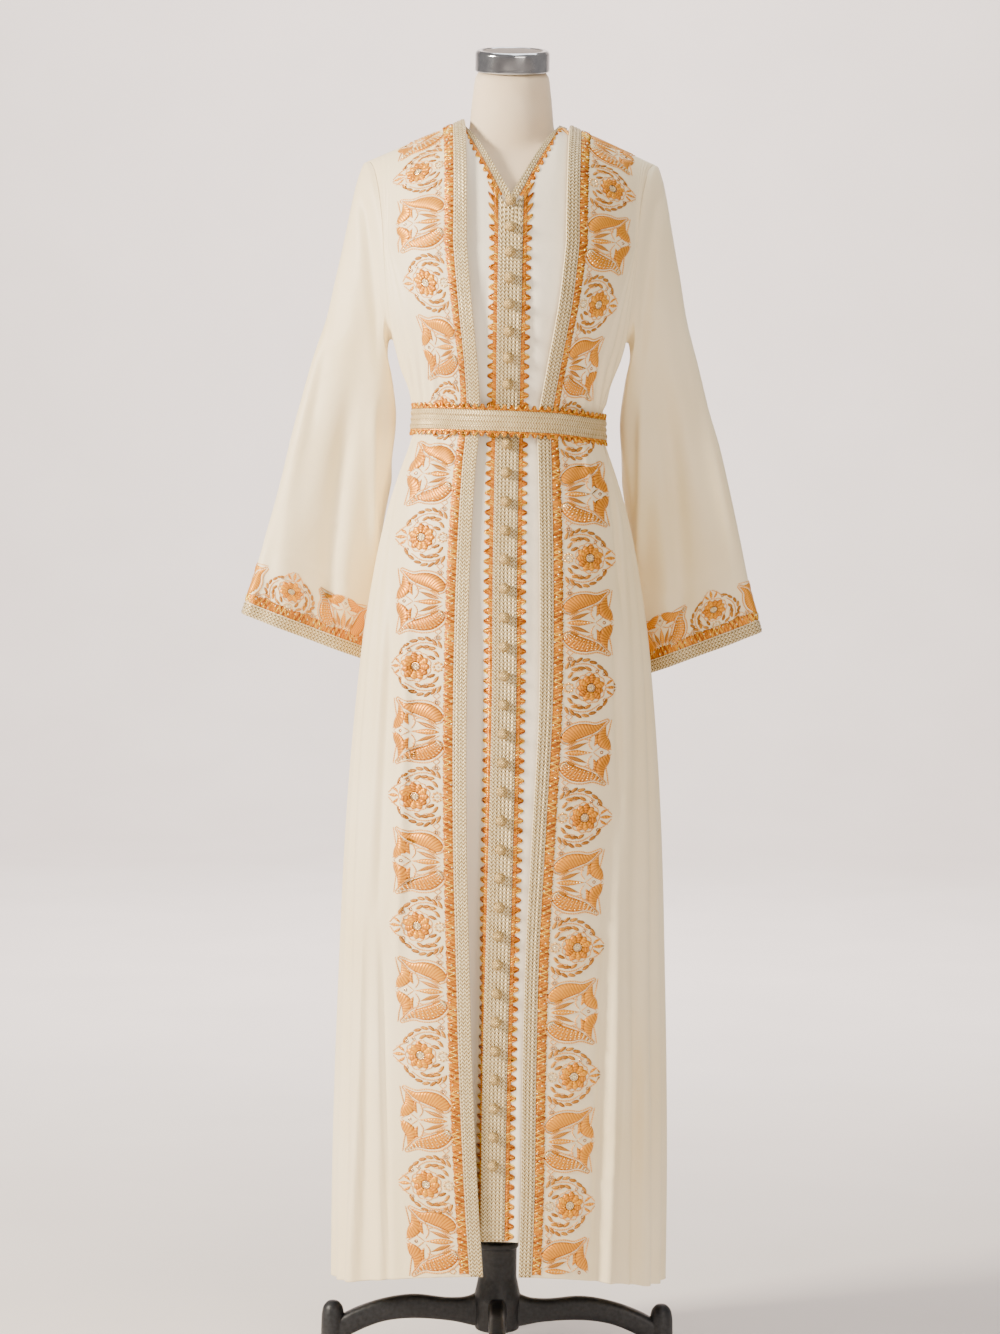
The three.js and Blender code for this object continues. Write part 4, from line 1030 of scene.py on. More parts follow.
def outline(shape: Flat, off: float, half: float, high: float, tone: float) -> Flat:
    """A cord laid round a leaf.

    Args:
        shape: one leaf.
        off: how far outside its edge the cord lies.
        half: half the cord's width.
        high: how high it stands.
        tone: its tone.
    """
    grid = shape.points[0, :, :, :2]
    loop = np.concatenate([grid[:, 0], grid[-1:, 2], grid[::-1, -1], grid[:1, 2], grid[:1, 0]])
    away = loop - grid[:, 2].mean(axis=0)
    away = np.gradient(loop, axis=0)[:, ::-1] * [1, -1]
    away /= np.maximum(np.linalg.norm(away, axis=-1, keepdims=True), 1e-9)
    inward = ((loop - grid.mean(axis=(0, 1))) * away).sum() < 0
    return cushions((loop + (-off if inward else off) * away)[None], np.full(len(loop), half), high, 2, tone)


def lay(name: str, shapes: list[tuple[Lay, Flat]]) -> Piece:
    """Lays flat shapes on their surfaces and makes one piece of them.

    Args:
        name: the piece's name.
        shapes: each surface with the shapes laid on it.
    """
    net = Net()
    for surface, flat in shapes:
        points, normals = surface.place(flat.points)
        net.add(points, flat.uv, flat.tone, normals, closed=flat.closed)
    return net.build(name)


@dataclass(frozen=True)
class BraidSection:
    """The ribs of a flat braid: its plaits side by side, each a rounded rib, with a thin cord along each edge."""

    wide: float
    plaits: int
    high: float = 1.5
    cord: float = 0.9
    cells: int = 4  # across a plait
    step: float = 3.2  # from row to row along it
    crossing: float = 6.4  # from one crossing of the plaits to the next
    swell: float = 0.12
    wall: float = 0.9

    def heights(self) -> Laid:
        """Returns places across the braid, from 0 to its width, and the height of each."""
        cells = self.plaits * self.cells
        x = np.linspace(self.cord, self.wide - self.cord, cells + 1)
        share = np.linspace(0, self.plaits, cells + 1)
        ribs = 0.45 * self.high + 0.55 * self.high * np.abs(np.sin(math.pi * share)) ** 0.7
        x = np.concatenate([[0, self.cord * 0.4], x, [self.wide - self.cord * 0.4, self.wide]])
        return x, np.concatenate([[0.1, 0.85 * self.high], ribs, [0.85 * self.high, 0.1]])


def braid(name: str, surface: Lay, run: Span, section: BraidSection, start: float = 0.0) -> Piece:
    """Lays a flat braid: the section's heights carried along the surface, with a slight swell at each crossing.

    Args:
        name: the piece's name.
        surface: what it lies on.
        run: where along the surface it starts and ends.
        section: its ribs.
        start: x of its first edge.
    """
    x, high = section.heights()
    y = np.linspace(*run, max(int(abs(run[1] - run[0]) / section.step), 4))
    phase = y[:, None] / section.crossing + x / section.wide * section.plaits * 0.5
    swell = 1 + section.swell * np.sin(2 * math.pi * phase)
    points, normals = surface.place(joined(start + x, y[:, None], FIGURE.seam_gap + high * swell))
    net = Net()
    net.add(points[None], joined(x - section.cord, y[:, None])[None], 0.5, normals[None], closed=False)
    return thicken(net.build(name), section.wall)


@dataclass(frozen=True)
class Zigzag:
    """A sawtooth edging of slanting gilt strokes on a narrow base."""

    base: float = 6.6
    tooth: float = 13.0
    pitch: float = 12.6

    def strokes(self, run: Span, start: float = 0.0, way: float = 1.0) -> list[Flat]:
        """Works out its base, its teeth, each a filled triangle, and strokes: four on the base, three to each point.

        Args:
            run: where along the surface it starts and ends.
            start: x of its straight edge.
            way: 1 where the teeth point to +x, -1 where they point to -x.

        Returns:
            The base, the teeth and the strokes.
        """
        low, high = min(run), max(run)
        count = max(int(round((high - low) / self.pitch)), 1)
        pitch = (high - low) / count
        at = low + (np.arange(count) + 0.5) * pitch
        x = lambda value: start + way * value
        share = np.linspace(0, 1, 6)
        spines = joined(x(mix(self.base * 0.45, self.tooth - 0.6, share)), at[:, None])
        teeth = cushions(spines, pitch * 0.5 * (1.02 - share), 1.0, 3, 0.4 + 0.1 * np.sin(5 * at))
        y = np.linspace(low + 0.2, high - 0.2, 4 * count)
        band = cushions(joined(0 * y + x(self.base / 2), y)[None], np.full(len(y), self.base / 2), 0.9, 3, 0.35)
        band.closed = False
        lines = [joined(x(0), y - 1.6, x(self.base), y + 1.6) for y in at + (np.arange(4)[:, None] - 1.5) / 4 * pitch]
        lines += [joined(x(self.base * 0.8), at + 0.36 * y, x(self.tooth), at + 0.06 * y) for y in (-pitch, 0, pitch)]
        ends = np.concatenate(lines)
        number = np.arange(len(ends))
        # Each stroke's own tone, varied at random; the high ones take the gilt finish's pale gold as painted glints.
        tone = 0.5 + 0.45 * np.sin(12.9898 * number) * np.cos(4.1 * number)
        return [band, teeth, strokes(ends[:, :2], ends[:, 2:], 0.105 * pitch, 1.8, tone)]


# ---- the robe
EDGES = Table(
    "z left right border_left border_right",
    [
        (130, 16, 25, 1, 0.92), (262, 26, 28, 1, 0.94), (420, 35, 28, 1, 1), (576, 41, 30, 1, 1),
        (720, 46, 36, 1, 1), (890, 48, 43, 1, 1), (1060, 46, 42, 0.98, 0.98), (1180, 41, 39, 0.88, 0.88),
        (1246, 36, 38, 0.68, 0.68), (1300, 38, 46, 0.62, 0.6), (1395, 48, 62, 0.76, 0.7),
        (1470, 55, 70, 0.96, 0.86),
    ],
)
FOLDS = Table(
    "share hem knee hip waist ribs chest",
    [
        (0, 0, 0, 0, 0, 0, 0), (0.14, 5, 4, 2, 1.4, 3, 1), (0.27, 0, 0, 0, 0, 0, 0),
        (0.4, 8, 6, 3, 1.4, 4, 2), (0.52, 1, 0, 0, 0, 0, 0), (0.64, 8, 5, 3, 1.4, 4, 2),
        (0.76, 0, 0, 0, 0, 0, 0), (0.88, 6, 4, 2, 1.4, 2, 0), (1, 3, 2, 0, 0, 0, 0),
    ],
)
FOLD_LEVELS = {"hem": 130, "knee": 600, "hip": 1060, "waist": 1246, "ribs": 1345, "chest": 1470}
BACK_FOLD = {"hem": 9, "knee": 6, "hip": 2.5, "waist": 1.4, "ribs": 2.5, "chest": 1}


def fold_heights(values: dict[str, Array], z: Array) -> Array:
    """Returns how far folds stand out at height z, a smooth curve through their values at the named levels."""
    rows = [(level, *np.eye(len(FOLD_LEVELS))[k]) for k, level in enumerate(FOLD_LEVELS.values())]
    weights = Table("z " + " ".join(FOLD_LEVELS), rows)
    return sum(weights.read(name, z) * values[name] for name in FOLD_LEVELS)


@dataclass
class Robe:
    """The open robe: its back, its two fronts, and the braid along their edges."""

    hem: tuple[float, float, float] = (165, 133, 145)
    wall: float = 1.5
    braid_wide: float = 16
    border_wide: float = 86
    corner: dict[str, float] = field(default_factory=lambda: {"left": 62, "right": 76})
    tip: float = 186
    fold_scale: dict[str, float] = field(default_factory=lambda: {"left": 0.85, "right": 1.2})
    flower_at: dict[str, float] = field(default_factory=lambda: {"left": 1098, "right": 1074})
    neckline_back: float = 0.56
    columns: int = 40  # from the border to the side seam
    back_columns: int = 96
    back_folds: int = 18  # ridges and troughs by turns, from side to side
    seam_steps: tuple[tuple[float, ...], ...] = ((0, 16, 54, 102), (0, 14, 50, 92))  # along the front, and its seam
    fold_x: float = 120  # x of the folds' last column, past the border
    front_cut: Cut = Cut(0.31, 1.55, 0.34)
    back_cut: Cut = Cut(0.66, 1.55, 0.79)
    creases: dict[str, list[Crease]] = field(default_factory=dict)

    def front(self, side: Side) -> tuple[Cloth, Array]:
        """Works out a front.

        Args:
            side: which one.

        Returns:
            The panel, and x of each column from its edge, which goes on past the border in the folds.
        """
        rows = Rows(self.hem)
        share, z, over = rows.heights()
        table_z = mix(self.hem[0], z, share)
        places, seams = self.seam_steps
        laid = np.concatenate([np.linspace(0, self.braid_wide, 6)[:-1], np.linspace(self.braid_wide, places[-1], 25)])
        folds = np.linspace(0, 1, self.columns + 1)[1:]
        edge = EDGES.read(side.word, table_z)
        gathered = EDGES.read("border_" + side.word, table_z)
        past = edge + self.braid_wide
        x = edge + np.minimum(laid, self.braid_wide) + np.maximum(laid - self.braid_wide, 0) * gathered
        last = FIGURE.angle_of(past + self.border_wide * gathered, table_z)
        limit = FIGURE.arm_angle(table_z) - FIGURE.side_gap(table_z)
        angle = np.concatenate([FIGURE.angle_of(x, table_z), mix(last, limit, folds)], axis=1)
        corner = self.corner[side.word]
        seam = np.interp(laid, places, corner + np.array(seams))
        seam = np.concatenate([seam, mix(corner + seams[-1], self.tip, folds)])
        where = np.concatenate([np.zeros(len(laid)), folds])[None]
        scale = mix(self.fold_scale[side.word], 1, smooth(0.88, 1, where))
        out = fold_heights({name: FOLDS.read(name, where) for name in FOLD_LEVELS}, table_z) * scale
        level = rows.level(share, z, angle)
        points = FIGURE.surface(Layer.ROBE, level, over, side.value * angle, side.value * seam, out)
        across = np.concatenate([laid, places[-1] + self.fold_x * folds])
        return Cloth(points, creases=self.creases.get("front_" + side.word)), across

    def back(self) -> Cloth:
        """Returns the back panel, from the right side seam round to the left one."""
        rows = Rows(self.hem)
        share, z, over = rows.heights()
        table_z = mix(self.hem[2], z, share)
        column = np.linspace(0, self.back_folds, self.back_columns + 1)[None]
        start = math.pi - FIGURE.arm_angle(table_z) + FIGURE.side_gap(table_z)
        angle = mix(start, 2 * math.pi - start, column / self.back_folds)
        left, right = self.corner["left"], self.corner["right"]
        seam = np.interp(column, [0, 4, 9, 14, self.back_folds], [self.tip, right, 0, -left, -self.tip])
        corner = np.where(seam > 0, right, left)
        reach = mix(self.neckline_back, 1, np.clip(np.abs(seam) / corner, 0, 1) ** 3)
        whole = np.arange(self.back_folds + 1)
        uneven = (whole % 2) * (0.75 + 0.35 * np.sin(whole * 2.4))
        at_side = np.isin(whole, [0, self.back_folds]).astype(float)
        shape = Table("column out side", list(zip(whole, uneven, at_side)))
        side_folds = {name: FOLDS.column[name][-1] for name in FOLD_LEVELS}
        out = fold_heights(BACK_FOLD, table_z) * shape.read("out", column)
        out = out + fold_heights(side_folds, table_z) * shape.read("side", column)
        level = rows.level(share, z, angle)
        points = FIGURE.surface(Layer.ROBE, level, over * reach, angle, seam, out)
        return Cloth(points, creases=self.creases.get("back"))

    def arm_edge(self, panel: Cloth, column: int, index: Array) -> Array:
        """Returns an armhole's edge at fractional levels: 0 at the underarm, 3 at the chest and 8 at the shoulder tip.

        Args:
            panel: the front or the back.
            column: the panel's column at the armhole.
            index: levels.
        """
        _, z, over = Rows(self.hem).heights()
        level = np.interp(z[:, 0], FIGURE.armhole.key, [0, 1, 2, 3])
        way = np.interp(over[:, 0], [0, 0.25, 0.48, 0.7, 0.87, 1], [3, 4, 5, 6, 7, 8])
        level = np.where(over[:, 0] > 0, way, level)
        level[z[:, 0] < FIGURE.underarm] = -1
        edge = panel.points[:, column]
        return np.stack([np.interp(index, level, edge[:, k]) for k in range(3)], axis=-1)

    def build(self) -> None:
        """Makes the back, and each front with its braid, its border and its sleeve."""
        back = self.back()
        satin = present(back.piece("robe_back_satin", self.wall), ROBE_SATIN, ["robe_back"])
        self.back_cut.declare(satin, ["dress_form", "inner_back_satin"], [])
        for side in Side:
            front, across = self.front(side)
            word = side.word
            panel = front.piece(f"robe_front_{word}_satin", self.wall)
            satin = present(panel, ROBE_SATIN, [f"robe_front_{word}"])
            edge = ColumnLay(front, across, self.braid_wide)
            ends = (0.6, edge.length[-1] - 0.6)
            woven = braid(f"front_{word}_braid", edge, ends, BraidSection(self.braid_wide - 0.4, 3, 1.5, 1.1), 0.2)
            trims = [present(woven, FLAT_BRAID, [f"front_braid_{word}"])]
            border = Border(edge, self.braid_wide, ends, edge.length_at(self.flower_at[word]))
            trims += border.pieces(f"front_{word}", f"front_border_{word}")
            self.front_cut.declare(satin, ["dress_form", "inner_front_satin"], trims)
            sleeve = Sleeve(side, creases=self.creases["sleeve_" + word])
            sleeve.build(sleeve.cloth(self, front, back))


@dataclass
class Sleeve:
    """A wide sleeve that hangs flat: a fold outside and one inside, and a slanting cuff."""

    side: Side
    wall: float = 1.5
    columns: int = 96
    rows: int = 120
    cuff_rows: int = 35  # of them, under the cuff's border
    # The last three sections are the border's edge and the braid's, 88 and 16 above the cuff's, and the cuff's own.
    sections: Table = Table(
        "row along outer height inner drop deep back twist",
        [
            (1, 0.06, 193, 1566, 154, 214, 42, 12, 0), (2, 0.14, 203, 1524, 152, 204, 40, 15, 0),
            (3, 0.23, 214, 1472, 148, 178, 38, 18, 2), (4, 0.33, 230, 1400, 146, 148, 36, 22, 5),
            (5, 0.45, 248, 1330, 151, 130, 34, 26, 10), (6, 0.57, 266, 1256, 160, 112, 33, 30, 17),
            (7, 0.69, 287, 1176, 167, 96, 32, 34, 27), (8, 0.8, 309, 1102, 171, 82, 31, 37, 38),
            (9, 1 - 88 / 600, 341 - 88 * 0.27, 988 + 88 * 0.95, 172 - 88 * 0.05, 66 + 88 * 0.12, 30, 40, 52 - 8.8),
            (10, 1 - 16 / 600, 341 - 16 * 0.27, 988 + 16 * 0.95, 172 - 16 * 0.05, 66 + 16 * 0.12, 30, 40, 52 - 1.6),
            (11, 1, 341, 988, 172, 66, 30, 40, 52),
        ],
    )
    folds: tuple[float, ...] = (0, 2, -2, 3, -2, 4, -2, 0, 0, 2, -3, 3, -2, 3, -2, 1, 0)
    meeting: tuple[float, ...] = (0.3, 0.6, 0.85)
    start_slope: float = -0.2
    cut: Cut = Cut(0.52, 0.63, 0.19)
    flower_at: float = 68  # from the outer fold
    squeeze: float = 0.72  # the cuff's border is narrower than the fronts' one
    creases: list[Crease] = field(default_factory=list)

    def loop(self, robe: Robe, front: Cloth, back: Cloth) -> Array:
        """Returns the armhole from the shoulder tip down the front to the underarm and up the back."""
        turn = np.arange(self.columns) / self.columns
        index = np.where(turn <= 0.5, 8 * (1 - 2 * turn), 16 * (turn - 0.5))
        column = 0 if self.side is Side.RIGHT else -1
        before = robe.arm_edge(front, -1, index)
        behind = robe.arm_edge(back, column, index)
        near = smooth(0.03, 0, np.minimum(np.abs(turn - 0.5), np.minimum(turn, 1 - turn)))[:, None]
        here = np.where((turn <= 0.5)[:, None], before, behind)
        return mix(here, (before + behind) / 2, near)

    def cloth(self, robe: Robe, front: Cloth, back: Cloth) -> Cloth:
        """Works out the sleeve.

        Section by section, x runs from the inner fold to the outer one as (1 + |cos t|^0.9)/2, and the depth as
        deep·|sin t|^0.8, each with its sign. The first sections still follow the armhole.

        Args:
            robe: the robe.
            front: its front on this side.
            back: its back.

        Returns:
            The sleeve, its last row the cuff's edge.
        """
        reach, lift = (5, 6) if self.side is Side.LEFT else (-5, -10)
        sign = self.side.value
        loop = self.loop(robe, front, back)
        away = np.array([sign, 0, self.start_slope]) / math.hypot(1, self.start_slope)
        turn = np.arange(self.columns) / self.columns * math.tau
        folds = Table("column out", list(enumerate(self.folds)))
        ripple = folds.read("out", np.arange(self.columns) * (len(self.folds) - 1) / self.columns)
        cross = power(np.cos(turn), 0.9)
        rows = [loop + away * 0.4]
        for k in range(11):
            at = {name: values[k] for name, values in self.sections.column.items()}
            share = at["along"]
            depth = at["deep"] * power(np.sin(turn), 0.8) + np.sign(np.sin(turn)) * ripple * share
            x = sign * mix(at["inner"], at["outer"] + reach * share, (1 + cross) / 2)
            y = at["back"] + at["twist"] * (1 - cross) * 0.5 - depth
            z = at["height"] + lift * share - at["drop"] * (1 - cross) * 0.5
            target = joined(x, y, z)
            met = self.meeting[k] if k < len(self.meeting) else 1
            rows.append(mix(loop + away * (6 + 8 * k), target, met))
        coarse = np.array(rows)
        plain = np.linspace(0, 8, self.rows - self.cuff_rows + 1)[:-1]
        fine = np.concatenate([plain, np.linspace(8, 11, self.cuff_rows)])
        names = [str(k) for k in range(coarse[0].size)]
        table = Table(" ".join(["row", *names]), [(k, *row.ravel()) for k, row in enumerate(coarse)])
        points = np.stack([table.read(name, fine) for name in names], axis=-1)
        return Cloth(points.reshape(len(fine), self.columns, 3), True, self.creases)

    def build(self, cloth: Cloth) -> None:
        """Makes the sleeve, the braid along its cuff and the border over it.

        Args:
            cloth: the sleeve's surface.
        """
        word = self.side.word
        satin = present(cloth.piece(f"sleeve_{word}_satin", self.wall), ROBE_SATIN, [f"sleeve_{word}"])
        edge = EdgeLay(cloth, 0)
        half = edge.whole / 2
        braided = braid(f"cuff_{word}_braid", edge, (-half, half), BraidSection(15.6, 3, 1.8, 1.1), 0.2)
        trims = [present(braided, FLAT_BRAID, [f"cuff_braid_{word}"])]
        border = Border(edge, 16, (-half, half), self.flower_at, squeeze=self.squeeze)
        trims += border.pieces(f"cuff_{word}", f"cuff_border_{word}")
        self.cut.declare(satin, [f"robe_front_{word}_satin", "robe_back_satin"], trims)


# ---- the inner dress
@dataclass
class InnerDress:
    """The closed inner dress: a front with a V neck and a placket, and a plain back."""

    hem: tuple[float, float, float] = (208, 196, 190)
    wall: float = 1.2
    tip: float = 172
    armhole_inset: float = 6  # its armholes lie inside the robe's
    seams: tuple[float, ...] = (-172, -144, -120, -94, -68, -43, -20, 0, 20, 43, 68, 94, 120, 144, 172)
    offs: tuple[float, ...] = (-80, -52, -32, -16, 0, 16, 32, 52, 80)
    neck_bottom: float = 1532
    neck_top: float = 1630
    neck_half: float = 68
    neck_braid: float = 12
    placket_wide: float = 31
    edging: Zigzag = Zigzag()
    front_cut: Cut = Cut(0.6, 1.49, 0.7)
    back_cut: Cut = Cut(0.58, 1.48, 0.69)
    middle: Table = Table(
        "z off fold",
        [
            (190, -8, 22), (420, -7, 22), (700, -3, 16), (900, -1, 7), (1060, -2, 0), (1246, -1, 0),
            (1470, 0, 0),
        ],
    )
    creases: list[Crease] = field(default_factory=list)

    def neck_reach(self, seam: Array) -> Array:
        """Returns how far over the shoulder each column goes: to the V, or to the shoulder seam beside it."""
        share = np.clip(np.abs(seam) / self.neck_half, 0, 1)
        rise = mix(self.neck_bottom, self.neck_top, share) - FIGURE.chest
        rise = rise / (FIGURE.seam_height(seam) - Layer.INNER.value[1] - FIGURE.chest)
        return np.where(share >= 1, 1, np.arcsin(np.clip(rise, 0, 1)) * 2 / math.pi)

    def front(self) -> tuple[Cloth, Array]:
        """Returns the front, and x of each column from the placket's middle."""
        rows = Rows(self.hem, over_steps=34)
        share, z, over = rows.heights()
        table_z = mix(self.hem[0], z, share)
        parts = [np.linspace(0, 3, 13)[:-1], np.linspace(3, 11, 53)[:-1], np.linspace(11, 14, 13)]
        column = np.concatenate(parts)[None]
        off = np.interp(column, np.arange(3, 12), self.offs)
        part = np.abs(np.interp(column, [0, 1, 2, 3, 11, 12, 13, 14], [-1, -0.67, -0.34, 0, 0, 0.34, 0.67, 1]))
        middle = self.middle.read("off", table_z)
        limit = FIGURE.arm_angle(table_z) - FIGURE.side_gap(table_z, self.armhole_inset)
        angle = mix(FIGURE.angle_of(middle + off, table_z), np.sign(column - 7) * limit, part)
        seam = np.interp(column, np.arange(15), self.seams)
        near = np.clip(1 - np.abs(column - 5) / np.where(column < 5, 1.0, 0.9), 0, 1)
        fold = -self.middle.read("fold", table_z) * near * near * (3 - 2 * near)
        level = rows.level(share, z, angle)
        points = FIGURE.surface(Layer.INNER, level, over * self.neck_reach(seam), angle, seam, fold)
        return Cloth(points, creases=self.creases), off[0]

    def back(self) -> Cloth:
        """Returns the plain back."""
        rows = Rows(self.hem, step=16, over_steps=16)
        share, z, over = rows.heights()
        table_z = mix(self.hem[2], z, share)
        column = np.linspace(0, 10, 51)[None]
        start = math.pi - FIGURE.arm_angle(table_z) + FIGURE.side_gap(table_z, self.armhole_inset)
        angle = mix(start, 2 * math.pi - start, column / 10)
        half = self.neck_half
        seam = np.interp(column, [0, 1, 2, 8, 9, 10], [self.tip, 122, half, -half, -122, -self.tip])
        reach = mix(0.56, 1, np.clip(np.abs(seam) / half, 0, 1) ** 3)
        level = rows.level(share, z, angle)
        return Cloth(FIGURE.surface(Layer.INNER, level, over * reach, angle, seam, np.zeros(1)))

    def build(self) -> None:
        """Makes both panels, the placket, the neck's braids, their gilt edgings and the buttons."""
        front, off = self.front()
        halves = ["inner_front_left", "inner_front_right"]
        satin = present(front.piece("inner_front_satin", self.wall), INNER_SATIN, halves)
        behind = present(self.back().piece("inner_back_satin", self.wall), INNER_SATIN, ["inner_back"])
        self.back_cut.declare(behind, ["dress_form"], [])
        down = ColumnLay(front, off, 0)
        slant = 1 / math.cos(math.atan((self.neck_top - self.neck_bottom) / self.neck_half))
        top = down.length[-1] - self.neck_braid * slant
        half = self.placket_wide / 2
        woven = braid("placket_braid", down, (0.6, top), BraidSection(self.placket_wide, 6, 1.7, 1.0), -half)
        trims = [present(woven, FLAT_BRAID, ["placket"])]
        edging = []
        for way in (-1, 1):
            beside = ColumnLay(front, off, way * (half + self.edging.tooth / 2))
            end = beside.length[-1] - self.neck_braid * slant - self.edging.tooth
            edging += [(beside, flat) for flat in self.edging.strokes((1, end), way * half, way)]
        neck = SlantLay(EdgeLay(front, np.argmin(np.abs(off)), depth=34), slant)
        end = neck.edge.run[np.searchsorted(front.points[-1, :, 0], self.neck_half)]
        for side in Side:
            run = tuple(sorted((side.value * 0.4, side.value * end)))
            strip = braid(f"neck_{side.word}_braid", neck, run, BraidSection(self.neck_braid, 3, 1.5, 0.9))
            trims.append(present(strip, FLAT_BRAID, [f"neck_braid_{side.word}"]))
            leaning = SlantLay(neck.edge, slant, side.value * math.sqrt(slant**2 - 1))
            along = tuple(sorted((side.value * 5, side.value * (end - 20))))
            edging += [(leaning, flat) for flat in self.edging.strokes(along, self.neck_braid)]
        trims.append(present(lay("placket_gilt_edging", edging), GILT, ["placket"]))
        self.front_cut.declare(satin, ["dress_form"], trims + Buttons(down).build())


# ---- embroidery
class Stitch(Enum):
    """A kind of needlework: the word in its pieces' names, and its finish."""

    SATIN = ("satin_stitch", ORANGE_THREAD)
    LEAF = ("leaf_stitch", BRONZE_THREAD)
    CORD = ("couched_cord", PEACH_CORD)
    GILT = ("gilt_strokes", GILT)
    BEAD = ("glass_beads", GLASS)
    SEQUIN = ("sequins", SEQUIN)


Motif = dict[Stitch, list[Flat]]


def petals(count: int, inner: float, outer: float, half: float, high: float) -> Flat:
    """Returns a rosette of petals round the origin, narrow at the heart and blunt outside."""
    share = np.linspace(0, 1, 7)
    turn = (np.arange(count) + 0.5) / count * math.tau
    reach = mix(inner, outer * (1 + 0.05 * np.sin(5 * turn))[:, None], share)
    spines = joined(reach * np.cos(turn)[:, None], reach * np.sin(turn)[:, None])
    width = half * np.array([0.4, 0.62, 0.8, 0.95, 1.0, 0.8, 0.25])
    return cushions(spines, width, high, 4, 0.5 + 0.25 * np.sin(turn * 3))


def hoops(places: Array, radius: float, half: float, high: float, tone: float = 0.5, sides: int = 9) -> Flat:
    """Returns small flat rings, each a cushion carried round a circle.

    Args:
        places: (N, 2) centres.
        radius: of the ring's middle line.
        half: half the ring's width.
        high: how high it stands.
        tone: its tone.
        sides: cells round it.
    """
    turn = np.linspace(0, math.tau, sides + 1)
    circle = radius * joined(np.cos(turn), np.sin(turn))
    made = cushions(np.asarray(places, float)[:, None] + circle, np.full(sides + 1, half), high, 2, tone)
    made.closed = False
    return made


def cords(lines: list[Line], half: float = 0.95, high: float = 1.3, tone: float = 0.5) -> list[Flat]:
    """Returns thin cords through a few points each."""
    end = [half * 0.8]
    return [leaf(line, end + [half] * (len(line) - 2) + end, high, tone, 4 * len(line)) for line in lines]


def both(shapes: list[Flat]) -> list[Flat]:
    """Returns shapes and their mirror images in y, the latter a little darker."""
    flip = np.array([1, -1, 1])
    return shapes + [Flat(shape.points * flip, shape.uv, shape.tone - 0.06, shape.closed) for shape in shapes]


def diamond(x: float, y: float, long: float, wide: float) -> list[Flat]:
    """Returns four straight cords round a diamond."""
    ends = np.array([(x + long, y), (x, y + wide), (x - long, y), (x, y - wide)])
    return [strokes(ends, np.roll(ends, -1, axis=0), 0.9, 1.3, 0.5)]


def tulip() -> Motif:
    """Returns an open tulip between two curved paisley leaves, with a pointed crown over it."""
    middle = [(17, 14), (22, 20), (32, 26), (45, 29), (58, 31), (72, 40)]
    full = leaf(middle, [6.4, 9.0, 10.2, 8.6, 4.8, 0.3], 2.1, 0.5, 19)
    beaded = Flat(full.points * [1, -1, 1], full.uv, full.tone - 0.1)
    inside = beaded.points[0, 1:-2, 1:-1, :2].reshape(-1, 2)
    crown = [leaf([(77, 3), (71, 10), (65, 19), (70, 36)], [2.4, 7.4, 8.0, 0.6], 1.7, 0.5, 13)]
    crown += [leaf([(56, 8), (59, 15), (57, 24)], [0.8, 3.0, 0.8], 1.5, 0.4)]
    spray = [leaf([(22, 4), (34, 8), (48, 13)], [1.0, 3.0, 0.3], 1.5, 0.35)]
    spray += [leaf([(21, 9), (27, 13), (35, 15)], [0.8, 2.2, 0.3], 1.3, 0.5)]
    lattice = diamond(22, 37, 5, 4) + diamond(22, 45.5, 5, 4)
    rims = [outline(full, 1.9, 1.15, 1.5, 0.5), outline(beaded, 1.9, 1.15, 1.5, 0.5)]
    stems = cords([[(17, 4), (27, 9), (40, 17), (52, 15)], [(79, 2), (72, 12), (75, 30), (77, 41)]])
    stems += cords([[(54, 3), (49, 12), (54, 25)]])
    return {
        Stitch.SATIN: [full, beaded, leaf([(18, 0), (34, 0), (54, 0)], [1.4, 4.2, 0.3], 1.8, 0.6)] + both(crown),
        Stitch.LEAF: both(spray),
        Stitch.CORD: rims + both(lattice + stems) + diamond(66, 0, 11, 8),
        # The beads' tones pick their colour in the glass finish: the high ones give pale gold, partly the beads' own
        # paleness and partly painted glints.
        Stitch.BEAD: [dots(inside, 1.35, 3.1, 0.8), dots([(24 + 4 * k, 0) for k in range(7)], 1.3, 2.7, 0.9)],
        Stitch.SEQUIN: [hoops([(66, 0), (22, 37), (22, -45.5)], 1.7, 0.75, 1.5)],
    }


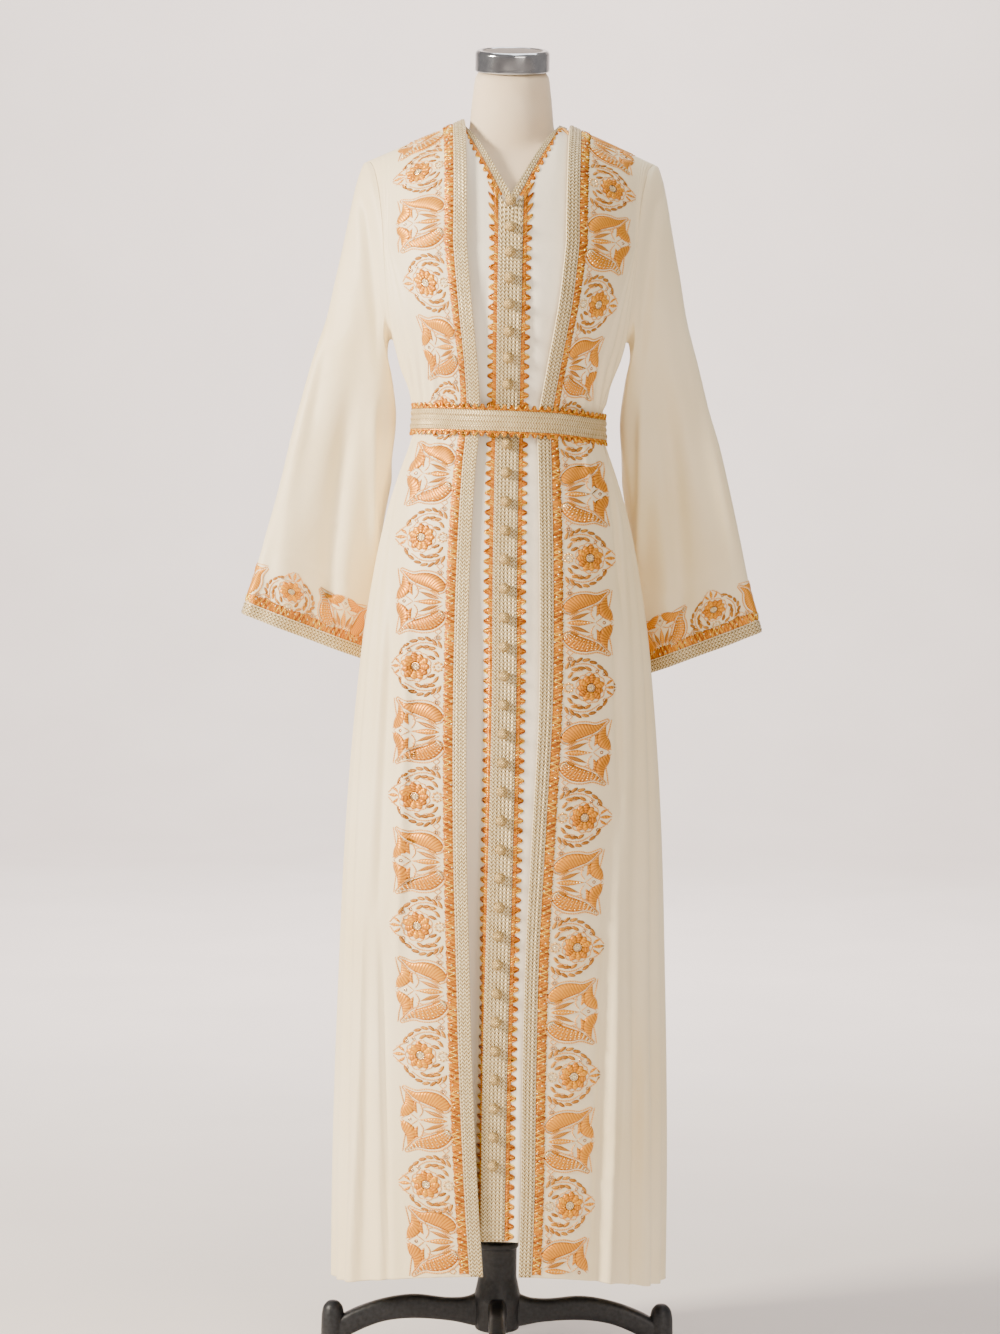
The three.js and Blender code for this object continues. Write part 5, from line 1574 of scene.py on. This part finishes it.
def flower() -> Motif:
    """Returns a round flower between two arching sprigs, with a small bead flower inside and a pointed leaf outside."""
    rosette = petals(11, 5.4, 17.4, 5.0, 2.1)
    rosette.points[..., 0] += 49
    turn = np.linspace(0, math.tau, 56)
    wave = 18.9 + 0.8 * np.cos(11 * turn)
    rim = joined(49 + wave * np.cos(turn), wave * np.sin(turn))
    ring = cushions(rim[None], np.full(56, 1.0), 1.4, 2)
    ring.closed = False
    heart = [hoops([(49, 0)], 4.6, 1.0, 2.1, 0.7, 16)]
    tip = [leaf([(69, 0), (77, 0), (85, 0)], [0.8, 2.7, 0.3], 1.5, 0.6)]
    tip += both([leaf([(69, 3), (73, 7), (80, 10)], [0.5, 2.1, 0.3], 1.4, 0.5)])
    arch = [(20, 25), (33, 30), (48, 29), (61, 21)]
    twigs = [(26, 31, 0.9), (34, 35, 0.6), (43, 35, 0.2), (52, 32, -0.2), (61, 26, -0.6)]
    twigs += [(29, 23.5, 0.1), (37, 25, -0.1), (45.5, 24, -0.5), (23, 16, 0.9), (29, 11.5, 0.4), (19, 28, 1.1)]
    twigs += [(68, 19, -1.0)]
    at = np.array(twigs)
    aim = 5.2 * joined(np.cos(at[:, 2]), np.sin(at[:, 2]))
    small = strokes(at[:, :2] - aim, at[:, :2] + aim, 2.7, 1.6, 0.4 + 0.25 * np.sin(4 * np.arange(len(at))))
    around = np.arange(8) / 8 * math.tau
    beads = joined(21 + 5.4 * np.cos(around), 5.4 * np.sin(around))
    pearls = joined(49 + 2.2 * np.cos(around[::2]), 2.2 * np.sin(around[::2]))
    return {
        Stitch.SATIN: [rosette] + tip,
        Stitch.LEAF: both([small]),
        Stitch.CORD: [ring] + both(cords([arch, [(20, 12), (28, 20), (38, 22)], [(66, 15), (74, 12), (84, 3)]])),
        # The beads' tones pick their colour in the glass finish: the high ones give pale gold, partly the beads' own
        # paleness and partly painted glints.
        Stitch.BEAD: [dots(beads, 2.1, 2.2, 0.6), dots(pearls, 1.4, 2.4, 1.0), dots([(21, 0), (49, 0)], 1.8, 2.4, 0.8)],
        Stitch.SEQUIN: heart + [hoops([(67, -16), (66, 17), (57, 20.5)], 1.7, 0.75, 1.5)],
    }


@dataclass
class Border:
    """The embroidered border: flowers and tulips by turns beside a strip of crossed gilt strokes."""

    surface: Lay
    start: float  # x of its straight edge
    run: Span  # its ends along the surface
    flower_at: float  # a flower's place along the surface
    repeat: float = 164
    squeeze: float = 1.0
    strip: float = 13.0
    wave: float = 13.0  # from one wave of the strip's edge to the next
    stroke_step: float = 3.7
    bead_step: float = 9.5
    reach: float = 44  # half a tulip's length
    slack: float = 22  # a tulip that the border's end would cut by less than this is moved clear of it

    def fitted(self, shape: Flat) -> Flat:
        """Returns the shapes moved to the border's edge, without those that run past its ends."""
        points = shape.points.copy()
        points[..., 0] += self.start
        y = points[..., 1]
        kept = (y.min(axis=(1, 2)) > self.run[0] + 0.5) & (y.max(axis=(1, 2)) < self.run[1] - 0.5)
        return Flat(points[kept], shape.uv[kept], shape.tone[kept], shape.closed)

    def lattice(self) -> dict[Stitch, list[Flat]]:
        """Returns the strip: an orange ground with a waved edge, under gilt strokes that cross."""
        low, high = self.run
        y = np.linspace(low + 4, high - 4, int((high - low) / 4))
        half = (self.strip + 2.4 * np.abs(np.sin(y * math.pi / self.wave))) / 2
        ground = cushions(joined(half, y)[None], half, 0.9, 4, 0.2)
        ground.closed = False
        at = np.arange(low + 3, high - 8, self.stroke_step)
        out = self.strip - 0.6 + 2.2 * np.abs(np.sin(at * math.pi / self.wave))
        # The strokes' tones alternate at random; high ones take the pale gold of the gilt finish as painted glints.
        tone = 0.5 + 0.4 * np.sin(2.7 * np.arange(len(at)))
        rising = strokes(joined(0 * at + 0.8, at), joined(out, at + 5), 1.35, 1.7, tone)
        second = at[::2]
        falling = strokes(joined(0 * second + 0.8, second + 5), joined(out[::2], second), 1.1, 2.3, 1 - tone[::2])
        # The beads' high tone gives them pale gold: partly their own colour, partly painted glints.
        beads = np.arange(low + 6, high - 8, self.bead_step)
        middle = joined(self.strip * (0.5 + 0.28 * np.sin(2.3 * np.arange(len(beads)))), beads)
        return {Stitch.SATIN: [ground], Stitch.GILT: [rising, falling], Stitch.BEAD: [dots(middle, 1.5, 3.4, 0.9)]}

    def pieces(self, name: str, node_name: str) -> list[Piece]:
        """Makes one piece for each kind of needlework, and returns them.

        Args:
            name: how their names begin.
            node_name: the CAD node that they stand for together.
        """
        first = math.ceil((self.run[0] - self.flower_at) / self.repeat - 0.6)
        last = math.floor((self.run[1] - self.flower_at) / self.repeat + 0.6)
        at = self.flower_at + self.repeat * np.arange(first, last + 1)
        middles = at + self.repeat / 2
        whole = self.run[0] + self.reach
        middles = np.where(np.abs(middles - whole) < self.slack, whole, middles)
        shapes: Motif = {stitch: [] for stitch in Stitch}
        for motif, places in ((flower(), at), (tulip(), middles)):
            for stitch, flats in motif.items():
                shapes[stitch] += [flat.spread(places, self.squeeze) for flat in flats]
        for stitch, flats in self.lattice().items():
            shapes[stitch] += flats
        made = []
        for stitch, flats in shapes.items():
            word, finish = stitch.value
            fitted = [(self.surface, self.fitted(flat)) for flat in flats]
            piece = lay(f"{name}_{word}", [(surface, flat) for surface, flat in fitted if len(flat.points)])
            made.append(present(piece, finish, [node_name]))
        return made


# ---- belt and buttons
@dataclass
class Belt(Lay):
    """The waist belt: a broad braid of three plaits, gilt teeth above and below. It leans, and droops at its right."""

    out: float = 3.6
    tilt: float = 0.03
    wide: float = 26
    droop: float = 4.0
    droop_x: Span = (55, 122)  # where the droop starts and is full
    droop_y: Span = (60, -20)
    droop_out: float = 0.45  # how far it stands out for each mm that it drops
    cut: Cut = Cut(0.026, 0.73, 0.0189, "stretched")
    edging: Zigzag = Zigzag(3.2, 8.2, 9.4)

    def __post_init__(self) -> None:
        """Measures the way round the waist, 0 at the front middle."""
        self.angle = np.linspace(-math.pi, math.pi, 361)
        ring = FIGURE.ring(self.angle, np.full(361, FIGURE.waist), -self.out)
        self.run = lengths(ring)
        self.run = self.run - self.run[180]

    def place(self, flat: Array) -> Laid:
        """Returns the points and their outward directions: rings at the waist, lowered by tilt·x and the droop."""
        angle = np.interp(flat[..., 1], self.run, self.angle)

        def ring(lift: Array) -> Array:
            """Returns the belt's points at a lift."""
            level = FIGURE.waist + flat[..., 0]
            points = FIGURE.ring(angle, level, -(self.out + lift))
            hang = self.droop * smooth(*self.droop_x, points[..., 0]) * smooth(*self.droop_y, points[..., 1])
            points = FIGURE.ring(angle, level, -(self.out + lift + self.droop_out * hang))
            points[..., 2] -= self.tilt * points[..., 0] + hang
            return points

        point = ring(flat[..., 2])
        normal = ring(flat[..., 2] + 1) - point
        return point, normal / np.linalg.norm(normal, axis=-1, keepdims=True)

    def build(self) -> None:
        """Makes the braid and both edgings."""
        end = self.run[-1] - 0.4
        section = BraidSection(self.wide, 3, 2.4, 1.3, 7)
        woven = braid("belt_braid", self, (-end, end), section, -self.wide / 2)
        present(woven, BELT_BRAID, ["belt"])
        teeth = [self.edging.strokes((-end, end), way * self.wide / 2 * 0.96, way) for way in (-1, 1)]
        edging = lay("belt_gilt_edging", [(self, flat) for flats in teeth for flat in flats])
        present(edging, GILT, ["belt"])
        robe = ["robe_front_left_satin", "robe_front_right_satin", "robe_back_satin"]
        self.cut.declare(woven, robe, [edging])


@dataclass
class Buttons:
    """Knotted cord buttons down the placket."""

    surface: ColumnLay
    radius: float = 6.7
    lift: float = 7.2
    runs: tuple[tuple[str, int, float, float], ...] = (("upper", 8, 1521, 32.4), ("lower", 26, 1216, 36.4))

    def ball(self) -> Laid:
        """Works out one button, a ball that swells under its cords: 0.82 + 0.13·(|sin(3t + 2.6f)| + |sin(3t - 2.6f)|).

        Returns:
            Its points round the origin and their UVs.
        """
        high = np.linspace(-0.46, 0.46, 12)[:, None] * math.pi
        turn = np.arange(20) / 20 * math.tau
        weave = np.abs(np.sin(3 * turn + 2.6 * high)) + np.abs(np.sin(3 * turn - 2.6 * high))
        r = self.radius * (0.82 + 0.13 * weave)
        points = joined(r * np.cos(high) * np.cos(turn), r * np.cos(high) * np.sin(turn), r * np.sin(high))
        return points, joined(np.arange(21) / 20 * 34, high * 6)

    def build(self) -> list[Piece]:
        """Makes every button on the ball that it stands for, and returns them."""
        shape, uv = self.ball()
        made = []
        for name, count, top, step in self.runs:
            for k in range(count):
                spot = np.array([0.0, self.surface.length_at(top - k * step), self.lift])
                centre, _ = self.surface.place(spot)
                net = Net()
                net.add((turned(shape, 0.7 * k) + centre)[None], uv[None], ring=True)
                word = f"button_{name}_{k + 1:02d}"
                made.append(present(net.build(word + "_knot"), BUTTON_CORD, [word]))
        return made


# ---- the dress form and its stand
def lathe(net: Net, profile: Line, sides: int = 64, matrix: Matrix | None = None) -> None:
    """Adds a turned shape: x = r(s)·cos t, y = r(s)·sin t, z = h(s), closed by a flat face at each end.

    Args:
        net: where it goes.
        profile: radius and height of each ring, from the bottom up.
        sides: cells round it.
        matrix: where it stands, in mm.
    """
    rings = np.array(profile, dtype=float)
    turn = np.arange(sides) / sides * math.tau
    x, y = rings[:, :1] * np.cos(turn), rings[:, :1] * np.sin(turn)
    points = joined(x, y, rings[:, 1:])
    if matrix is not None:
        points = points @ np.array(matrix.to_3x3()).T + np.array(matrix.translation)
    around = np.arange(sides + 1) / sides * math.tau * rings[:, :1].max()
    up = lengths(rings)[:, None]
    uv = joined(around, up)
    net.add(points[None], uv[None], 0.5, ring=True)


def rounded(profile: Line, radius: float, steps: int = 4) -> Line:
    """Returns a turned shape's profile with its corners rounded.

    Args:
        profile: radius and height of each corner.
        radius: how far from a corner the rounding starts, less where the next corner is near.
        steps: cells round a corner.
    """
    points = np.array(profile, dtype=float)
    out = [points[0]]
    for before, corner, after in zip(points, points[1:], points[2:]):
        start, end = before - corner, after - corner
        reach = min(radius, 0.45 * np.linalg.norm(start), 0.45 * np.linalg.norm(end))
        a = corner + start / np.linalg.norm(start) * reach
        b = corner + end / np.linalg.norm(end) * reach
        for s in np.linspace(0, 1, steps + 1):
            out.append((1 - s) ** 2 * a + 2 * s * (1 - s) * corner + s * s * b)
    out.append(points[-1])
    return [tuple(point) for point in out]


@dataclass
class DressForm:
    """The limbless padded form that the dress hangs on, with the metal cap on its neck."""

    low: float = 950
    over: float = 0.965
    sides: int = 120
    neck_y: float = 4
    neck: Table = Table(
        "z wide front back tilt",
        [
            (1540, 58, 57, 52, 0), (1590, 56, 56, 52, 0.02), (1615, 55, 54, 51, 0.08),
            (1640, 54, 53, 50, 0.15), (1668, 51, 50, 49, 0.22), (1699, 48, 48, 48, 0.25),
        ],
    )
    cap_radius: float = 48.3
    cap_high: float = 27
    grain: float = 6.4  # cell size of the joined skin

    def body(self) -> Piece:
        """Makes the form: the torso's rings and the neck's, joined into one skin and smoothed at the neck's root."""
        angle = np.arange(self.sides) / self.sides * math.tau - math.pi / 2
        deep = Layer.FORM.value[0]
        ends = np.array([(0, 22), (3, 14), (8, 8), (16, 3), (26, 0)], dtype=float)
        heights = np.arange(990, FIGURE.chest + 1, 12.0)
        z = np.concatenate([self.low + ends[:, 0], heights, np.full(22, FIGURE.chest)])
        inset = np.concatenate([ends[:, 1], np.zeros(len(heights) + 22)])
        over = np.concatenate([np.zeros(len(ends) + len(heights)), np.linspace(0, self.over, 23)[1:]])
        seam = FIGURE.half * power(np.sin(angle), FIGURE.roundness)
        torso = FIGURE.surface(Layer.FORM, z[:, None], over[:, None], angle, seam, -inset[:, None])
        level = np.linspace(1540, 1699, 34)[:, None]
        turn = np.arange(72) / 72 * math.tau
        half = np.where(np.cos(turn) > 0, self.neck.read("front", level), self.neck.read("back", level))
        y = -half * np.cos(turn)
        wide, tilt = self.neck.read("wide", level), self.neck.read("tilt", level)
        neck = joined(wide * np.sin(turn), y + self.neck_y, level + tilt * y)
        net = Net()
        for grid in (torso, neck):
            k, j = grid.shape[:2]
            net.add(grid[None], np.zeros((1, k, j + 1, 2)), ring=True)
        piece = net.build("dress_form_jersey")
        skin = piece.modifiers.new("skin", "REMESH")
        skin.mode, skin.voxel_size, skin.use_smooth_shade = "VOXEL", self.grain * MM, True
        ease = piece.modifiers.new("ease", "SMOOTH")
        ease.factor, ease.iterations = 0.6, 7
        shape = bpy.data.meshes.new_from_object(piece.evaluated_get(bpy.context.evaluated_depsgraph_get()))
        piece.modifiers.clear()
        piece.data = shape
        shape.shade_smooth()
        return present(piece, JERSEY, ["dress_form"])

    def cap(self) -> None:
        """Makes the turned cap: an upright rim, a rounded shoulder and a slightly hollow dull top."""
        top = self.neck
        tilt = math.atan(top.column["tilt"][-1])
        stand = Matrix.Translation((0, self.neck_y, top.key[-1] + 0.4)) @ Matrix.Rotation(tilt, 4, "X")
        r, h = self.cap_radius, self.cap_high
        net = Net()
        outside = [(r - 1.2, 0), (r, 1.4), (r - 0.2, 6), (r - 0.2, h - 3.5), (r - 3.4, h), (r - 8, h - 0.2)]
        lathe(net, rounded([(6, 0), *outside, (r - 9, h - 1.4), (6, h - 1.8)], 1.6), 96, stand)
        present(net.build("neck_cap_chrome"), CHROME, ["neck_cap"])
        plate = Net()
        lathe(plate, rounded([(4, h - 1.5), (r - 9.6, h - 1.5), (r - 9.6, h - 0.9), (4, h - 0.5)], 0.4), 96, stand)
        present(plate.build("neck_cap_disc"), CAP_TOP, ["neck_cap"])


@dataclass
class Stand:
    """The steel pole and the cast base with four arched arms and upright rounded feet."""

    pole_radius: float = 13.2
    pole_low: float = 150
    pole_top: float = 949.7
    hub_radius: float = 25
    hub_top: float = 176
    hub_low: float = 58
    reach: float = 216
    foot_radius: float = 16
    foot_top: float = 93
    arm_wide: float = 22
    arm_sides: int = 28
    square: float = 3.2
    arm: Table = Table(
        "out top low",
        [
            (8, 128, 58), (30, 104, 62), (60, 98, 68), (110, 102, 71), (150, 96, 66), (185, 84, 52),
            (212, 70, 36),
        ],
    )

    def pole(self) -> Piece:
        """Makes the tube with a collar under the form and a clamp ring above the hub."""
        r = self.pole_radius
        top = self.pole_top
        net = Net()
        profile = [(3, self.pole_low), (r, self.pole_low), (r, 205), (r + 1.6, 207), (r + 1.6, 222), (r, 224)]
        profile += [(r - 0.6, 560), (r - 0.6, 562), (r, 564), (r, top - 26), (r + 2, top - 24), (r + 2, top), (3, top)]
        lathe(net, rounded(profile, 0.8), 48)
        return present(net.build("pole_tube"), STEEL, ["pole"])

    def base(self) -> Piece:
        """Makes the base: arms whose rounded-square section |x|^3.2 + |z|^3.2 = 1 is carried from hub to foot."""
        net = Net()
        r = self.hub_radius
        hub = [(4, self.hub_low), (r + 4, self.hub_low), (r + 6, 100), (r, 128), (r, self.hub_top - 10)]
        hub += [(r + 2.4, self.hub_top - 8), (r + 2.4, self.hub_top - 2), (r, self.hub_top), (r - 11, self.hub_top)]
        lathe(net, rounded(hub, 3.5), 64)
        turn = np.arange(self.arm_sides) / self.arm_sides * math.tau
        out = np.linspace(8, self.reach, 36)
        top, low = self.arm.read("top", out), self.arm.read("low", out)
        width = self.arm_wide / 2 * (1 + 0.18 * smooth(60, 8, out) + 0.12 * smooth(150, 212, out))
        x = out[:, None] + 0 * turn
        y = width[:, None] * power(np.cos(turn), 2 / self.square)
        z = (top + low)[:, None] / 2 + (top - low)[:, None] / 2 * power(np.sin(turn), 2 / self.square)
        arm = joined(x, y, z)
        around = np.arange(self.arm_sides + 1) / self.arm_sides * 120
        uv = joined(around, out[:, None])
        f = self.foot_radius
        t = self.foot_top
        foot = [(3, 0), (f + 1, 0), (f + 2, 4), (f + 2, 10), (f, 26)]
        foot += [(f - 1, t - 18), (f - 3.4, t - 7), (f - 9, t - 1), (2, t)]
        for k in range(4):
            bearing = k * math.pi / 2
            net.add(turned(arm, bearing)[None], uv[None], ring=True)
            spot = Matrix.Rotation(bearing, 4, "Z") @ Matrix.Translation((self.reach, 0, 0))
            lathe(net, rounded(foot, 5), 40, spot)
        return present(net.build("stand_base_iron"), IRON, ["stand_base"])


# ---- creases of this dress
def creases_of(rows: list[tuple]) -> list[Crease]:
    """Returns a crease for each row of a crease's values."""
    return [Crease(*row) for row in rows]


def dress_creases() -> dict[str, list[Crease]]:
    """Returns each panel's creases: gathers at the belt, long folds of the skirt, press marks, the sleeves' folds."""
    above, below = (0.06, 0.6), (0.06, 0.7)
    left = [Crease((-94 - 9 * k, 1262), (-101 - 12 * k, 1338 + 7 * k), 3.0, (3.5, 3.5), 2, above) for k in range(5)]
    left += [Crease((-90 - 8 * k, 1231), (-98 - 17 * k, 1120 - 14 * k), 3.0, (4, 4), -2, below) for k in range(4)]
    left += creases_of([
        ((-158, 640), (-143, 130), -6.6, (3, 6), 3, (0.3, 0)), ((-170, 900), (-186, 130), 9.0, (9, 5), 4, (0.5, 0)),
        ((-126, 1080), (-136, 480), 5.6, (7, 6), 5), ((-141, 1060), (-160, 560), -6.0, (6, 8), -4),
        ((-186, 498), (-112, 492), 1.3, (3, 3), 2),
    ])
    right = [Crease((95 + 9 * k, 1262), (103 + 13 * k, 1345 + 5 * k), 3.4, (3.5, 3.5), -2, above) for k in range(5)]
    right += [Crease((92 + 8 * k, 1229), (112 + 17 * k, 1090 - 22 * k), 4.3, (4, 4), 3, (0.06, 0.75)) for k in range(4)]
    right += creases_of([
        ((123, 1205), (152, 960), -5.6, (2.5, 4), 4, (0.1, 0.4)),
        ((138, 1010), (150, 700), -6.0, (3, 5), 0, (0.3, 0.5)), ((132, 700), (124, 130), -5.0, (3, 6), -2, (0.4, 0)),
        ((146, 760), (142, 130), 7.6, (6, 4), 2, (0.6, 0)), ((162, 640), (164, 130), 8.8, (6, 4), -3, (0.5, 0)),
        ((180, 560), (187, 130), 9.2, (6, 5), 2, (0.5, 0)), ((112, 392), (166, 300), 1.6, (4, 4), 3),
        ((120, 268), (172, 322), 1.4, (4, 4), -3), ((112, 494), (186, 500), 1.3, (3, 3), 2),
    ])
    arm = creases_of([
        ((196, 1560), (167, 1275), -6.6, (11, 7), -4, (0.15, 0.4)),
        ((171, 1300), (173, 1040), 6.6, (5, 8), 2, (0.3, 0.3)),
        ((214, 1500), (300, 1010), 7.4, (14, 15), 8, (0.4, 0.1)),
        ((196, 1330), (232, 990), -7.4, (10, 12), 5, (0.4, 0.1)), ((222, 1440), (262, 1200), -4.2, (8, 10), 3),
        ((200, 1124), (298, 1116), 1.3, (3, 3), 1),
    ])

    def flip(c: Crease) -> Crease:
        """Returns a right sleeve's crease for the left one."""
        start, end = (-c.start[0], c.start[1] - 9), (-c.end[0], c.end[1] + 7)
        return Crease(start, end, c.depth, c.width[::-1], -c.bend, c.fade)

    inner = creases_of([
        ((-30, 700), (-27, 205), -4.0, (6, 4), 0, (0.5, 0)), ((24, 1460), (30, 1290), -1.9, (6, 6), 2),
        ((-26, 1450), (-31, 1290), -1.9, (6, 6), -2), ((22, 1200), (26, 900), 1.6, (7, 7), 1),
        ((23, 520), (24, 205), 2.9, (6, 6), 2, (0.5, 0)),
    ])
    back = mirrored(left[:9], Face.BACK) + mirrored(right[:9], Face.BACK)
    back += mirrored(left[9:] + right[10:], Face.BACK, 0.9)
    back += creases_of([
        ((14, 1215), (30, 420), 4.8, (10, 12), 6, (0.2, 0.5), Face.BACK),
        ((-40, 1215), (-72, 300), 4.8, (10, 12), -6, (0.2, 0.4), Face.BACK),
        ((62, 1215), (88, 360), 4.2, (9, 12), 6, (0.2, 0.4), Face.BACK),
    ])
    arm_left = [flip(c) for c in arm]
    return {
        "front_left": left,
        "front_right": right,
        "back": back,
        "inner_front": inner,
        "sleeve_right": arm + mirrored(arm, Face.BACK, 0.9),
        "sleeve_left": arm_left + mirrored(arm_left, Face.BACK, 0.9),
    }


# ---- the room
def studio() -> None:
    """Sets the plain pale floor that turns up behind, the soft lights and the camera."""
    wall, bend, reach = 8000.0, 2000.0, 9000.0
    turn = np.linspace(0, math.pi / 2, 13)[1:]
    y = np.concatenate([np.linspace(-7000, wall - bend, 4), wall - bend + bend * np.sin(turn), [wall]])
    z = np.concatenate([np.zeros(4), bend - bend * np.cos(turn), [reach]])
    grid = joined(np.array([-reach, reach]), y[:, None], z[:, None])
    net = Net()
    net.add(grid[None], grid[None, ..., :2], 0.5, np.array([0.0, -0.5, 1.0]), closed=False)
    floor = net.build("floor")
    floor.data.materials.append(FLOOR_PAINT.material())
    lamps = [
        ("key light", (-3.5, -1.7, 2.4), (0, 0, 1.0), 0.9, 450, 0xFFF2DE),
        ("fill light", (1.6, -3.8, 1.9), (0, 0, 0.9), 2.2, 75, 0xFFF1E2),
        ("top light", (0.2, 0.2, 3.8), (0, 0, 1.0), 2.0, 60, 0xFFFFFF),
        ("wall light", (0, 2.6, 4.4), (0, 8.0, 1.6), 3.2, 720, 0xFFF4F0),
    ]
    for name, place, aim, size, watts, colour in lamps:
        lamp = bpy.data.lights.new(name, "AREA")
        lamp.shape, lamp.size, lamp.energy, lamp.color = "SQUARE", size, watts, srgb(colour)[:3]
        light = bpy.data.objects.new(name, lamp)
        away = Matrix.Translation(place).translation - Matrix.Translation(aim).translation
        light.matrix_world = Matrix.Translation(place) @ away.to_track_quat("Z", "Y").to_matrix().to_4x4()
        bpy.context.scene.collection.objects.link(light)
    world = bpy.data.worlds.new("room")
    world.use_nodes = True
    sky = world.node_tree.nodes["Background"].inputs
    sky["Color"].default_value, sky["Strength"].default_value = srgb(0xFBF1EA), 0.4
    bpy.context.scene.world = world
    lens = bpy.data.cameras.new("camera")
    lens.lens, lens.sensor_width = 83.0, 36.0
    camera = bpy.data.objects.new("camera", lens)
    camera.location = (-0.009, -4.0, 1.13)
    camera.rotation_euler = (math.radians(87.13), math.radians(-0.7), 0)
    bpy.context.scene.collection.objects.link(camera)
    bpy.context.scene.camera = camera


def main() -> None:
    """Builds the dress, its form and its room, piece by piece."""
    logging.basicConfig(level=logging.INFO, format="%(message)s")
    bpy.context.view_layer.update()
    studio()
    creases = dress_creases()
    Robe(creases=creases).build()
    InnerDress(creases=creases["inner_front"]).build()
    Belt().build()
    form = DressForm()
    form.body()
    form.cap()
    stand = Stand()
    stand.pole()
    stand.base()


if __name__ == "__main__":
    main()
